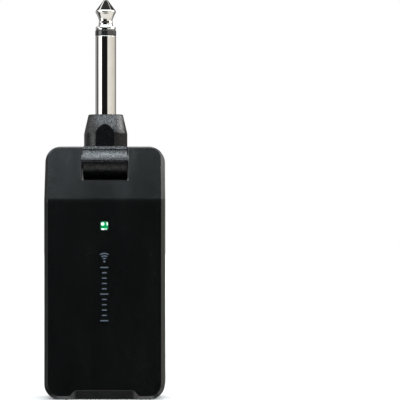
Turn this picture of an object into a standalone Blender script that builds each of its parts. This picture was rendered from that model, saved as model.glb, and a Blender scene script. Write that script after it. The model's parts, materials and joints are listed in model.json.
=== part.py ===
"""Hinged wireless guitar transmitter, built as its real sub-parts.

Frame: metres, +Z up the length of the device, +X to the right, the printed front face towards -Y.
The origin is the centre of the device's bottom face. Run with: blender --background --python part.py
"""

import math

import bmesh
import bpy
from mathutils import Matrix, Vector

MM = 0.001

# Case outside
CASE_HALF_WIDTH = 18.4 * MM
CASE_HEIGHT = 77.2 * MM
CASE_HALF_DEPTH = 7.5 * MM
CORNER_RADIUS = 4.75 * MM
CREASE_Z = 60.7 * MM
SLOPE = math.tan(math.radians(11.0))
TOP_NARROWING = 0.25 * MM
CHAMFER = 1.15 * MM
TOP_CHAMFER = 0.35 * MM
BACK_FILLET = 2.0 * MM
WALL = 1.5 * MM
CORNER_STEPS = 6

# Split between the two covers, on the hinge axis
HINGE_Y = 1.15 * MM
HINGE_Z = 72.75 * MM
SPLIT_GAP = 0.3 * MM
FRONT_RIM_Y = HINGE_Y - SPLIT_GAP / 2
REAR_RIM_Y = HINGE_Y + SPLIT_GAP / 2
LIP_OUTER_INSET = 1.8 * MM
LIP_INNER_INSET = 2.8 * MM
LIP_FRONT_Y = -0.5 * MM
LIP_ROOT_Y = 2.5 * MM
CAVITY_BACK_Y = CASE_HALF_DEPTH - WALL

# Hinge
NOTCH_HALF_WIDTH = 7.175 * MM
NOTCH_DEPTH = 5.87 * MM
SOCKET_RADIUS = 7.2 * MM
HINGE_BLOCK_HALF_WIDTH = 11.675 * MM
HINGE_BLOCK_BOTTOM = 63.6 * MM
HINGE_BLOCK_TOP = 76.2 * MM
CHEEK_END = 8.575 * MM
SPINDLE_RADIUS = 2.0 * MM
SPINDLE_BORE = 1.2 * MM
SPINDLE_END = 13.4 * MM
BUSH_RADIUS = 3.2 * MM
BUSH_SEAT_RADIUS = 3.5 * MM

# Knuckle and boot
KNUCKLE_HALF_WIDTH = 6.8 * MM
KNUCKLE_RADIUS = 5.7 * MM
KNUCKLE_SHOULDER = 4.55 * MM
BARREL_END = 39.0
LIP_HALF_DEPTH = 5.5 * MM
LIP_BOTTOM = 3.8 * MM
LIP_EDGE = 0.25 * MM
SEAM_GAP = 0.2 * MM
BOOT_HALF_WIDTH = 6.7 * MM
BOOT_DEPTH_RATIO = 5.6 / 6.7
BOOT_FLAT = 5.1 * MM
BOOT_CONE_START = 81.2 * MM
BOOT_TOP = 87.2 * MM
BOOT_TOP_HALF_WIDTH = 5.45 * MM
BOOT_CAVITY_RADIUS = 4.65 * MM
BOOT_STEP_Z = 80.3 * MM

# 6.35 mm plug
SLEEVE_RADIUS = 3.175 * MM
SLEEVE_TOP = 111.4 * MM
RING_TOP = 113.05 * MM
COLLAR_TOP = 114.4 * MM
PLUG_TOP = 122.6 * MM
ROD_RADIUS = 1.1 * MM
RING_GAP = 0.1 * MM

# Inside the case
BOARD_FRONT_Y = -3.6 * MM
BOARD_BACK_Y = -2.6 * MM
BOARD_HALF_WIDTH = 15.2 * MM
SOLDER_GAP = 0.1 * MM
CASE_SCREW_X = 12.9 * MM
CASE_SCREW_Z = (6.0 * MM, 59.5 * MM)
BOARD_SCREW_X = 13.0 * MM
BOARD_SCREW_Z = 24.0 * MM
USB_Y = -0.87 * MM
LED_Z = 53.0 * MM
WINDOW_HALF = 1.35 * MM
CONTROL_Y = -1.7 * MM
CONTROL_Z = 40.0 * MM
SLIDER_TRAVEL = 2.0 * MM
SLIDER_HALF = 2.2 * MM


def clear_scene():
    for item in list(bpy.data.objects):
        bpy.data.objects.remove(item, do_unlink=True)


def material(name, colour, roughness, metallic=0.0):
    """A plain Principled material, made once for each name."""
    found = bpy.data.materials.get(name)
    if found:
        return found
    made = bpy.data.materials.new(name)
    made.use_nodes = True
    shader = made.node_tree.nodes["Principled BSDF"]
    shader.inputs["Base Color"].default_value = (*colour, 1.0)
    shader.inputs["Roughness"].default_value = roughness
    shader.inputs["Metallic"].default_value = metallic
    return made


def black_plastic():
    return material("black_plastic", (0.012, 0.012, 0.013), 0.45)


def black_nylon():
    return material("black_nylon", (0.018, 0.018, 0.02), 0.5)


def nickel():
    return material("nickel", (0.75, 0.73, 0.7), 0.08, 1.0)


def steel():
    return material("steel", (0.55, 0.55, 0.57), 0.3, 1.0)


def chip_black():
    return material("chip_black", (0.02, 0.02, 0.022), 0.5)


def place(name, bm, look=None, parent=None):
    """Turns a bmesh in world coordinates into an object; one with no material is a cutter."""
    bmesh.ops.remove_doubles(bm, verts=bm.verts, dist=1e-7)
    bmesh.ops.recalc_face_normals(bm, faces=bm.faces)
    mesh = bpy.data.meshes.new(name)
    bm.to_mesh(mesh)
    bm.free()
    made = bpy.data.objects.new(name, mesh)
    bpy.context.scene.collection.objects.link(made)
    if look is None:
        made.hide_render = True
        made.display_type = "WIRE"
    else:
        mesh.materials.append(look)
        mesh.shade_smooth()
        mesh.set_sharp_from_angle(angle=math.radians(30))
    if parent is not None:
        mesh.transform(Matrix.Translation(-parent.location))
        made.parent = parent
    return made


def combine(target, other, operation="DIFFERENCE"):
    change = target.modifiers.new(other.name, "BOOLEAN")
    change.operation = operation
    change.object = other
    change.solver = "EXACT"


def box_bm(low, high):
    bm = bmesh.new()
    bmesh.ops.create_cube(bm, size=1.0)
    middle = (Vector(low) + Vector(high)) / 2
    size = Vector(high) - Vector(low)
    for vert in bm.verts:
        vert.co = Vector(co * side for co, side in zip(vert.co, size)) + middle
    return bm


def prism_bm(outline, axis, low, high):
    """Extrudes a flat outline along X, Y or Z; the outline is in the other two axes, in X, Y, Z order."""
    bm = bmesh.new()
    ends = []
    for level in (low, high):
        ring = []
        for u, v in outline:
            point = [u, v]
            point.insert("XYZ".index(axis), level)
            ring.append(bm.verts.new(point))
        ends.append(ring)
        bm.faces.new(ring)
    bridge(bm, ends[0], ends[1])
    return bm


def bridge(bm, first, second):
    count = len(first)
    for i in range(count):
        j = (i + 1) % count
        bm.faces.new((first[i], first[j], second[j], second[i]))


def lathe_bm(profile, axis="Z", centre=(0, 0, 0), segments=24):
    """Turns a closed profile of (radius, height) points about an axis; a zero radius closes the end."""
    bm = bmesh.new()
    verts = [bm.verts.new((radius, 0, height)) for radius, height in profile]
    edges = [bm.edges.new(pair) for pair in zip(verts, verts[1:])]
    if profile[0][0] > 0 and profile[-1][0] > 0:
        edges.append(bm.edges.new((verts[-1], verts[0])))
    bmesh.ops.spin(
        bm, geom=verts + edges, cent=(0, 0, 0), axis=(0, 0, 1), angle=math.tau,
        steps=segments, use_merge=True,
    )
    bmesh.ops.remove_doubles(bm, verts=bm.verts, dist=1e-7)
    turn = {"X": Matrix.Rotation(math.pi / 2, 4, "Y"), "Y": Matrix.Rotation(-math.pi / 2, 4, "X")}
    bm.transform(Matrix.Translation(centre) @ turn.get(axis, Matrix.Identity(4)))
    return bm


def rod_bm(radius, low, high, axis="Z", centre=(0, 0, 0), segments=24):
    return lathe_bm([(0, low), (radius, low), (radius, high), (0, high)], axis, centre, segments)


def ring_bm(inner, outer, low, high, axis="Z", centre=(0, 0, 0), segments=24):
    profile = [(inner, low), (outer, low), (outer, high), (inner, high)]
    return lathe_bm(profile, axis, centre, segments)


def round_rect(half_u, half_v, radius, steps=4, middle=(0, 0)):
    points = []
    corners = ((1, 1, 0), (-1, 1, 90), (-1, -1, 180), (1, -1, 270))
    for sign_u, sign_v, start in corners:
        for i in range(steps + 1):
            angle = math.radians(start + 90 * i / steps)
            u = sign_u * (half_u - radius) + radius * math.cos(angle)
            v = sign_v * (half_v - radius) + radius * math.sin(angle)
            points.append((middle[0] + u, middle[1] + v))
    return points


def wire(name, points, radius, look, parent=None):
    """A short insulated wire through hand-chosen points."""
    curve = bpy.data.curves.new(name, "CURVE")
    curve.dimensions = "3D"
    curve.bevel_depth = radius
    curve.bevel_resolution = 2
    curve.use_fill_caps = True
    spline = curve.splines.new("POLY")
    spline.points.add(len(points) - 1)
    offset = parent.location if parent is not None else Vector((0, 0, 0))
    for target, point in zip(spline.points, points):
        target.co = (*(Vector(point) - offset), 1.0)
    curve.materials.append(look)
    made = bpy.data.objects.new(name, curve)
    made.parent = parent
    bpy.context.scene.collection.objects.link(made)


def smooth_route(corners, spacing=1.8 * MM):
    """Points along a Catmull-Rom curve through the given corners."""
    places = [Vector(c) for c in corners]
    padded = [2 * places[0] - places[1], *places, 2 * places[-1] - places[-2]]
    route = []
    for i in range(1, len(padded) - 2):
        before, start, end, after = padded[i - 1 : i + 3]
        count = max(2, round((end - start).length / spacing))
        for k in range(count):
            t = k / count
            route.append(
                0.5 * (
                    2 * start + (end - before) * t
                    + (2 * before - 5 * start + 4 * end - after) * t * t
                    + (3 * start - before - 3 * end + after) * t ** 3
                )
            )
    return route + [places[-1]]


# --- Case covers ---


def front_y(z):
    """The front face: upright below the crease, sloping back above it."""
    return -CASE_HALF_DEPTH + max(0.0, z - CREASE_Z) * SLOPE


def case_outline(inset=0.0):
    """The case's outline moved inwards, with a point on each side at the crease."""
    centre_x = CASE_HALF_WIDTH - CORNER_RADIUS
    radius = CORNER_RADIUS - inset
    corners = (
        (1, CORNER_RADIUS, 270),
        (1, CASE_HEIGHT - CORNER_RADIUS, 0),
        (-1, CASE_HEIGHT - CORNER_RADIUS, 90),
        (-1, CORNER_RADIUS, 180),
    )
    points = []
    for number, (sign, centre_z, start) in enumerate(corners):
        for i in range(CORNER_STEPS + 1):
            angle = math.radians(start + 90 * i / CORNER_STEPS)
            x = sign * centre_x + radius * math.cos(angle)
            points.append((x, centre_z + radius * math.sin(angle)))
        if number in (0, 2):
            points.append((sign * (CASE_HALF_WIDTH - inset), CREASE_Z))
    return points


def ring_of(bm, points):
    """Points as (x, y, z), drawn in a little towards the top."""
    ring = []
    for x, y, z in points:
        share = max(0.0, z - CREASE_Z) / (CASE_HEIGHT - CREASE_Z)
        narrow = 1 - share * TOP_NARROWING / CASE_HALF_WIDTH
        ring.append(bm.verts.new((x * narrow, y, z)))
    return ring


def case_ring(bm, depth, inset=0.0):
    """One ring of the case's skin; depth gives y from z."""
    return ring_of(bm, [(x, depth(z), z) for x, z in case_outline(inset)])


def chamfer_rings(bm):
    """The chamfer follows the bottom corners, and ends where the top corners' arcs cross it."""
    limit = CASE_HALF_WIDTH - CHAMFER
    outer = []
    inner = []
    for (x, z), low, high in zip(case_outline(), case_outline(CHAMFER), case_outline(TOP_CHAMFER)):
        upper = z > CREASE_Z
        width = max(TOP_CHAMFER, abs(x) - limit) if upper else CHAMFER
        outer.append((x, front_y(z) + width, z))
        near_x, near_z = high if upper else low
        inner.append((min(limit, max(-limit, near_x)), front_y(near_z), near_z))
    return ring_of(bm, outer), ring_of(bm, inner)


def close_front(bm, ring):
    """Two flat faces that meet at the crease."""
    upper = CORNER_STEPS + 1
    lower = upper + 2 * (CORNER_STEPS + 1) + 1
    bm.faces.new(ring[upper : lower + 1])
    bm.faces.new(ring[lower:] + ring[: upper + 1])


def front_shell():
    bm = bmesh.new()
    inner_start = case_ring(bm, lambda z: FRONT_RIM_Y, WALL)
    inner_front = case_ring(bm, lambda z: front_y(z) + WALL, WALL)
    rings = [inner_start, case_ring(bm, lambda z: FRONT_RIM_Y), *chamfer_rings(bm)]
    for first, second in zip(rings, rings[1:]):
        bridge(bm, first, second)
    close_front(bm, rings[-1])
    bridge(bm, inner_start, inner_front)
    close_front(bm, inner_front)
    return bm


def rear_shell():
    bm = bmesh.new()
    rings = [
        case_ring(bm, lambda z: LIP_FRONT_Y, LIP_INNER_INSET),
        case_ring(bm, lambda z: LIP_FRONT_Y, LIP_OUTER_INSET),
        case_ring(bm, lambda z: REAR_RIM_Y, LIP_OUTER_INSET),
        case_ring(bm, lambda z: REAR_RIM_Y),
    ]
    fillet_steps = 3
    for i in range(fillet_steps + 1):
        angle = math.pi / 2 * i / fillet_steps
        inset = BACK_FILLET * (1 - math.cos(angle))
        y = CASE_HALF_DEPTH - BACK_FILLET * (1 - math.sin(angle))
        rings.append(case_ring(bm, lambda z, y=y: y, inset))
    for first, second in zip(rings, rings[1:]):
        bridge(bm, first, second)
    bm.faces.new(rings[-1])
    inner = [
        rings[0],
        case_ring(bm, lambda z: LIP_ROOT_Y, LIP_INNER_INSET),
        case_ring(bm, lambda z: LIP_ROOT_Y + LIP_INNER_INSET - WALL, WALL),
        case_ring(bm, lambda z: CAVITY_BACK_Y, WALL),
    ]
    for first, second in zip(inner, inner[1:]):
        bridge(bm, first, second)
    bm.faces.new(inner[-1])
    return bm


def hinge_block(front):
    """The block that carries the spindles, before the notch and the bores are cut."""
    low = HINGE_BLOCK_BOTTOM
    high = HINGE_BLOCK_TOP
    inward = 0.7 * MM
    if front:
        rim = FRONT_RIM_Y - 0.05 * MM
        outline = [(rim, low), (rim, high), (front_y(high) + inward, high)]
        outline.append((front_y(low) + inward, low))
    else:
        rim = REAR_RIM_Y + 0.05 * MM
        back = CASE_HALF_DEPTH - inward
        outline = [(rim, low), (rim, high), (back, high), (back, low)]
    half = HINGE_BLOCK_HALF_WIDTH
    return place("block_" + ("front" if front else "rear"), prism_bm(outline, "X", -half, half))


def notch_cutters():
    """The open notch with its round socket, and the stepped bore for spindles and bushes."""
    half = NOTCH_HALF_WIDTH
    centre = (0, HINGE_Y, HINGE_Z)
    lip = math.asin(NOTCH_DEPTH / SOCKET_RADIUS)
    steps = 10
    outline = [(-20 * MM, 90 * MM), (-20 * MM, HINGE_Z - NOTCH_DEPTH)]
    for i in range(steps + 1):
        angle = math.pi + lip + (math.pi - 2 * lip) * i / steps
        y = HINGE_Y + SOCKET_RADIUS * math.cos(angle)
        outline.append((y, HINGE_Z + SOCKET_RADIUS * math.sin(angle)))
    outline += [(20 * MM, HINGE_Z - NOTCH_DEPTH), (20 * MM, 90 * MM)]
    notch = place("notch", prism_bm(outline, "X", -half, half))
    hole = SPINDLE_RADIUS + 0.4 * MM
    seat_end = 13.6 * MM
    seat = BUSH_SEAT_RADIUS
    profile = [(0, -seat_end), (seat, -seat_end), (seat, -CHEEK_END), (hole, -CHEEK_END)]
    profile += [(radius, -height) for radius, height in reversed(profile)]
    bore = place("spindle_bore", lathe_bm(profile, "X", centre, 24))
    return notch, bore


def case_screw_places():
    return [(sign * CASE_SCREW_X, z) for z in CASE_SCREW_Z for sign in (-1, 1)]


def ramp_cutter():
    """The trapezoid ramp that breaks the bottom front edge."""
    top = 2.7 * MM
    top_half = 8.7 * MM
    low_half = 9.4 * MM
    outer_half = 10.5 * MM
    outer_z = 0.75 * MM
    face = -CASE_HALF_DEPTH
    bm = box_bm((-14 * MM, -12 * MM, -5 * MM), (14 * MM, -5 * MM, 5 * MM))
    planes = [(Vector((0, face, top)), Vector((0, CHAMFER, -top)).cross(Vector((-1, 0, 0))))]
    for sign in (-1, 1):
        a = Vector((sign * top_half, face, top))
        b = Vector((sign * low_half, face + CHAMFER, 0))
        c = Vector((sign * outer_half, face + CHAMFER - outer_z, outer_z))
        planes.append((a, (b - a).cross(c - a) * sign))
    inside = Vector((0, face - 2 * MM, -1 * MM))
    for point, normal in planes:
        outward = normal if normal.dot(inside - point) < 0 else -normal
        geometry = bm.verts[:] + bm.edges[:] + bm.faces[:]
        bmesh.ops.bisect_plane(bm, geom=geometry, plane_co=point, plane_no=outward, clear_outer=True)
        bmesh.ops.holes_fill(bm, edges=[edge for edge in bm.edges if edge.is_boundary])
    return place("ramp", bm)


def front_cover():
    cover = place("front_cover", front_shell(), black_plastic())
    combine(cover, hinge_block(True), "UNION")
    bosses = []
    wall_middle = 0.75 * MM
    for number, (x, z) in enumerate(case_screw_places()):
        start = front_y(z) + wall_middle
        bosses.append(("case", number, x, z, 2.4, 1.1, start, FRONT_RIM_Y - 0.1 * MM))
    for number, x in enumerate((-BOARD_SCREW_X, BOARD_SCREW_X)):
        start = -CASE_HALF_DEPTH + wall_middle
        end = BOARD_FRONT_Y - SOLDER_GAP
        bosses.append(("board", number, x, BOARD_SCREW_Z, 1.8, 0.9, start, end))
    for kind, number, x, z, outer, inner, start, end in bosses:
        boss = rod_bm(outer * MM, start, end, "Y", (x, 0, z), 16)
        combine(cover, place(f"{kind}_boss_{number}", boss), "UNION")
    for kind, number, x, z, outer, inner, start, end in bosses:
        hole = rod_bm(inner * MM, start + 1 * MM, end + 1 * MM, "Y", (x, 0, z), 12)
        combine(cover, place(f"{kind}_hole_{number}", hole))
    return cover


def rear_cover():
    cover = place("rear_cover", rear_shell(), black_plastic())
    rim = REAR_RIM_Y - SPLIT_GAP / 2
    low_z = HINGE_BLOCK_BOTTOM - 0.4 * MM
    half = HINGE_BLOCK_HALF_WIDTH + 0.4 * MM
    reliefs = [((-half, low_z), (half, HINGE_BLOCK_TOP + 0.5 * MM))]
    reliefs.append(((-5.2 * MM, 1.6 * MM), (5.2 * MM, 3.4 * MM)))
    for sign in (-1, 1):
        sides = sorted((sign * 15.0 * MM, sign * 16.85 * MM))
        reliefs.append(((sides[0], CONTROL_Z - 6 * MM), (sides[1], CONTROL_Z + 6 * MM)))
    for number, ((x0, z0), (x1, z1)) in enumerate(reliefs):
        relief = box_bm((x0, LIP_FRONT_Y - 0.5 * MM, z0), (x1, rim, z1))
        combine(cover, place(f"lip_relief_{number}", relief))
    combine(cover, hinge_block(False), "UNION")
    for number, (x, z) in enumerate(case_screw_places()):
        post = rod_bm(2.6 * MM, REAR_RIM_Y + 0.1 * MM, CASE_HALF_DEPTH - 0.7 * MM, "Y", (x, 0, z), 16)
        combine(cover, place(f"rear_post_{number}", post), "UNION")
    for number, (x, z) in enumerate(case_screw_places()):
        profile = [(0, 9 * MM), (1.9 * MM, 9 * MM), (1.9 * MM, 5.7 * MM), (1.1 * MM, 5.7 * MM)]
        profile += [(1.1 * MM, 0), (0, 0)]
        counterbore = lathe_bm(profile, "Y", (x, 0, z), 20)
        combine(cover, place(f"counterbore_{number}", counterbore))
    return cover


def cut_openings(front, rear):
    for cutter in notch_cutters():
        combine(front, cutter)
        combine(rear, cutter)
    combine(front, ramp_cutter())
    usb = round_rect(4.77 * MM, 1.93 * MM, 1.5 * MM, 4, (0, USB_Y))
    combine(front, place("usb_opening", prism_bm(usb, "Z", -1 * MM, 2.6 * MM)))
    half = WINDOW_HALF + 0.1 * MM
    window = round_rect(half, half, 0.55 * MM, 3, (0, LED_Z))
    combine(front, place("window_opening", prism_bm(window, "Y", -9 * MM, -5 * MM)))
    for sign, name, half_z in ((1, "slider_slot", 3.5 * MM), (-1, "button_opening", 2.8 * MM)):
        outline = round_rect(1.35 * MM, half_z, 1.3 * MM, 3, (CONTROL_Y, CONTROL_Z))
        ends = sorted((sign * 16.4 * MM, sign * 20 * MM))
        combine(front, place(name, prism_bm(outline, "X", *ends)))


# --- Front face, controls and USB ---


def led_window():
    look = material("led_green", (0.0, 0.35, 0.12), 0.15)
    window = round_rect(WINDOW_HALF, WINDOW_HALF, 0.45 * MM, 3, (0, LED_Z))
    body = place("led_window", prism_bm(window, "Y", -CASE_HALF_DEPTH + 0.03 * MM, -4.7 * MM), look)
    flange = round_rect(1.9 * MM, 1.9 * MM, 0.4 * MM, 2, (0, LED_Z))
    combine(body, place("window_flange", prism_bm(flange, "Y", -5.85 * MM, -5.3 * MM)), "UNION")
    return body


def power_slider(body):
    """The knob in its slot, its retaining plate, and the two prongs that drive the switch lever."""
    middle = CONTROL_Z - SLIDER_TRAVEL / 2
    knob = round_rect(1.1 * MM, SLIDER_HALF, 1.0 * MM, 3, (CONTROL_Y, middle))
    slider = place("power_slider", prism_bm(knob, "X", 16.3 * MM, 18.25 * MM), black_nylon(), body)
    low = (15.9 * MM, CONTROL_Y - 1.7 * MM, middle - 4.0 * MM)
    high = (16.6 * MM, CONTROL_Y + 1.6 * MM, middle + 4.0 * MM)
    combine(slider, place("slider_plate", box_bm(low, high)), "UNION")
    for number, sign in enumerate((-1, 1)):
        near, far = sorted((middle + sign * 0.95 * MM, middle + sign * 1.65 * MM))
        prong = box_bm((14.9 * MM, CONTROL_Y - 0.5 * MM, near), (16.2 * MM, CONTROL_Y + 0.5 * MM, far))
        combine(slider, place(f"slider_prong_{number}", prong), "UNION")
    groove_half = 0.14 * MM
    groove_pitch = 0.75 * MM
    for number in range(5):
        z = middle + (number - 2) * groove_pitch
        low = (18.0 * MM, CONTROL_Y - 2 * MM, z - groove_half)
        high = (19.0 * MM, CONTROL_Y + 2 * MM, z + groove_half)
        combine(slider, place(f"slider_groove_{number}", box_bm(low, high)))
    lever = box_bm(
        (13.9 * MM, CONTROL_Y - 0.4 * MM, middle - 0.6 * MM),
        (15.4 * MM, CONTROL_Y + 0.4 * MM, middle + 0.6 * MM),
    )
    place("power_switch_lever", lever, chip_black(), body)


def power_switch_body():
    low = (11.6 * MM, BOARD_BACK_Y + SOLDER_GAP, CONTROL_Z - 3.4 * MM)
    high = (14.6 * MM, CONTROL_Y + 0.8 * MM, CONTROL_Z + 3.4 * MM)
    switch = place("power_switch_body", box_bm(low, high), steel())
    low = (13.4 * MM, CONTROL_Y - 0.6 * MM, CONTROL_Z - 2.2 * MM)
    high = (15.0 * MM, CONTROL_Y + 0.6 * MM, CONTROL_Z + 2.2 * MM)
    combine(switch, place("lever_slot", box_bm(low, high)))


def pair_button(body):
    cap = round_rect(1.05 * MM, 2.5 * MM, 1.0 * MM, 3, (CONTROL_Y, CONTROL_Z))
    button = place("pair_button", prism_bm(cap, "X", -18.3 * MM, -16.2 * MM), black_nylon(), body)
    low = (-16.6 * MM, CONTROL_Y - 1.6 * MM, CONTROL_Z - 3.3 * MM)
    high = (-15.95 * MM, CONTROL_Y + 1.5 * MM, CONTROL_Z + 3.3 * MM)
    combine(button, place("button_plate", box_bm(low, high)), "UNION")
    stem = box_bm(
        (-15.65 * MM, CONTROL_Y - 0.5 * MM, CONTROL_Z - 0.5 * MM),
        (-13.6 * MM, CONTROL_Y + 0.5 * MM, CONTROL_Z + 0.5 * MM),
    )
    place("tact_switch_stem", stem, chip_black(), body)


def tact_switch_body():
    low = (-14.4 * MM, BOARD_BACK_Y + SOLDER_GAP, CONTROL_Z - 2.2 * MM)
    high = (-11.2 * MM, CONTROL_Y + 1.0 * MM, CONTROL_Z + 2.2 * MM)
    switch = place("tact_switch_body", box_bm(low, high), chip_black())
    low = (-15.0 * MM, CONTROL_Y - 0.65 * MM, CONTROL_Z - 0.8 * MM)
    high = (-12.8 * MM, CONTROL_Y + 0.65 * MM, CONTROL_Z + 0.8 * MM)
    combine(switch, place("stem_hole", box_bm(low, high)))


def usb_port():
    mouth = 0.35 * MM
    outer = round_rect(4.47 * MM, 1.63 * MM, 1.25 * MM, 4, (0, USB_Y))
    shell = place("usb_c_shell", prism_bm(outer, "Z", mouth, 7.7 * MM), steel())
    inner = round_rect(4.17 * MM, 1.33 * MM, 1.0 * MM, 4, (0, USB_Y))
    combine(shell, place("usb_bore", prism_bm(inner, "Z", -1 * MM, 9 * MM)))
    half_x = 3.35 * MM
    half_y = 0.35 * MM
    blade = box_bm((-half_x, USB_Y - half_y, 1.3 * MM), (half_x, USB_Y + half_y, 7.0 * MM))
    tongue = place("usb_c_tongue", blade, chip_black())
    base = round_rect(4.05 * MM, 1.2 * MM, 0.9 * MM, 3, (0, USB_Y))
    combine(tongue, place("tongue_base", prism_bm(base, "Z", 6.3 * MM, 7.6 * MM)), "UNION")


# --- Electronics and battery ---


def main_board():
    wide = BOARD_HALF_WIDTH
    narrow = 9.6 * MM
    low, step_low, step_high, high = 2.2 * MM, 9.4 * MM, 56.5 * MM, 63.1 * MM
    right = [(narrow, low), (narrow, step_low), (wide, step_low), (wide, step_high)]
    right += [(narrow, step_high), (narrow, high)]
    outline = right + [(-x, z) for x, z in reversed(right)]
    look = material("board_green", (0.01, 0.09, 0.04), 0.4)
    board = place("main_board", prism_bm(outline, "Y", BOARD_FRONT_Y, BOARD_BACK_Y), look)
    for number, x in enumerate((-BOARD_SCREW_X, BOARD_SCREW_X)):
        hole = rod_bm(0.95 * MM, -5 * MM, -1 * MM, "Y", (x, 0, BOARD_SCREW_Z), 12)
        combine(board, place(f"board_hole_{number}", hole))


def board_parts():
    """Parts as (name, x, z, half width, half height, thickness, material), on the board's front side."""
    tan = material("tantalum", (0.55, 0.35, 0.06), 0.5)
    white = material("ceramic_white", (0.75, 0.75, 0.72), 0.4)
    parts = (
        ("status_led", 0.0, LED_Z / MM, 0.8, 0.5, 0.65, white),
        ("audio_codec_chip", -4.0, 32.0, 2.5, 3.2, 1.1, chip_black()),
        ("charger_chip", 5.0, 15.0, 1.5, 1.5, 0.85, chip_black()),
        ("inductor", 5.0, 20.5, 1.6, 1.6, 1.5, material("ferrite", (0.06, 0.06, 0.065), 0.55)),
        ("tantalum_capacitor", -3.0, 16.0, 1.75, 1.4, 1.9, tan),
        ("crystal", 7.8, 41.0, 1.25, 1.6, 0.8, steel()),
        ("antenna_chip", 5.5, 61.2, 3.5, 1.0, 1.0, white),
        ("radio_chip", 0.0, 41.5, 2.5, 2.5, 0.9, chip_black()),
    )
    back = BOARD_FRONT_Y - SOLDER_GAP
    for name, x, z, half_x, half_z, thick, look in parts:
        low = ((x - half_x) * MM, back - thick * MM, (z - half_z) * MM)
        high = ((x + half_x) * MM, back, (z + half_z) * MM)
        place(name, box_bm(low, high), look)


def shield_can():
    half = 5.5 * MM
    middle = 41.5 * MM
    skin = 0.25 * MM
    back = BOARD_FRONT_Y - SOLDER_GAP
    front = back - 1.7 * MM
    outside = box_bm((-half, front, middle - half), (half, back, middle + half))
    can = place("rf_shield_can", outside, steel())
    inner = half - skin
    hollow = box_bm((-inner, front + skin, middle - inner), (inner, back + 1 * MM, middle + inner))
    combine(can, place("can_hollow", hollow))


def battery():
    pouch = material("pouch_foil", (0.6, 0.61, 0.63), 0.35, 1.0)
    outline = round_rect(13.2 * MM, 2.5 * MM, 1.2 * MM, 3, (0, 2.85 * MM))
    place("battery_cell", prism_bm(outline, "Z", 10.5 * MM, 48.5 * MM), pouch)
    foam = material("foam", (0.03, 0.03, 0.03), 0.9)
    pad = box_bm((-10 * MM, 5.45 * MM, 14 * MM), (10 * MM, 5.9 * MM, 45 * MM))
    place("battery_pad", pad, foam)
    look = material("kapton", (0.4, 0.2, 0.02), 0.35)
    strip = box_bm((-9 * MM, 2.0 * MM, 49.0 * MM), (9 * MM, 3.2 * MM, 52 * MM))
    place("battery_protection_board", strip, look)
    white = material("ceramic_white", (0.75, 0.75, 0.72), 0.4)
    low = (-5.6 * MM, BOARD_BACK_Y + SOLDER_GAP, 53.5 * MM)
    high = (-1.6 * MM, BOARD_BACK_Y + 1.7 * MM, 56.5 * MM)
    place("battery_connector", box_bm(low, high), white)
    leads = (("positive", -4.4 * MM, (0.6, 0.02, 0.02)), ("negative", -2.8 * MM, (0.02, 0.02, 0.02)))
    for name, x, colour in leads:
        corners = [(x, 2.6 * MM, 52.4 * MM), (x, 2.6 * MM, 55.5 * MM), (x, 1.4 * MM, 58.2 * MM)]
        corners += [(x, -0.9 * MM, 58.8 * MM), (x, -1.7 * MM, 57.9 * MM), (x, -1.7 * MM, 56.9 * MM)]
        look = material("lead_" + name, colour, 0.4)
        wire("battery_lead_" + name, smooth_route(corners), 0.35 * MM, look)


# --- Screws ---


def screw(name, centre, direction, head, shank, length, axis, body=None):
    """A cross-recess screw; the head's top is at centre, and the shank runs on along direction."""
    head_radius, head_height = head
    profile = [(0, 0), (head_radius * 0.85, 0), (head_radius, head_height * 0.3)]
    profile += [(head_radius, head_height), (shank, head_height)]
    profile += [(shank, length - shank), (shank * 0.4, length), (0, length)]
    profile = [(radius, direction * height) for radius, height in profile]
    made = place(name, lathe_bm(profile, axis, centre, 12), steel(), body)
    arm = head_radius * 0.55
    slot = head_radius * 0.13
    recess = [(arm, slot), (slot, slot), (slot, arm)]
    cross = []
    for turn in range(4):
        c, s = math.cos(turn * math.pi / 2), math.sin(turn * math.pi / 2)
        cross += [(u * c - v * s, u * s + v * c) for u, v in recess]
    others = [i for i in range(3) if i != "XYZ".index(axis)]
    cross = [(u + centre[others[0]], v + centre[others[1]]) for u, v in cross]
    at = centre["XYZ".index(axis)]
    ends = sorted((at - direction * head_height, at + direction * head_height * 0.6))
    combine(made, place(name + "_recess", prism_bm(cross, axis, *ends)))
    return made


def case_screws():
    names = ("lower_left", "lower_right", "upper_left", "upper_right")
    head = (1.6 * MM, 1.1 * MM)
    for name, (x, z) in zip(names, case_screw_places()):
        screw("case_screw_" + name, (x, 7.1 * MM, z), -1, head, 0.8 * MM, 10.2 * MM, "Y")
    head = (1.5 * MM, 0.8 * MM)
    for name, x in (("left", -BOARD_SCREW_X), ("right", BOARD_SCREW_X)):
        centre = (x, BOARD_BACK_Y + 0.9 * MM, BOARD_SCREW_Z)
        screw("board_screw_" + name, centre, -1, head, 0.6 * MM, 3.7 * MM, "Y")


# --- Hinge ---


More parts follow.
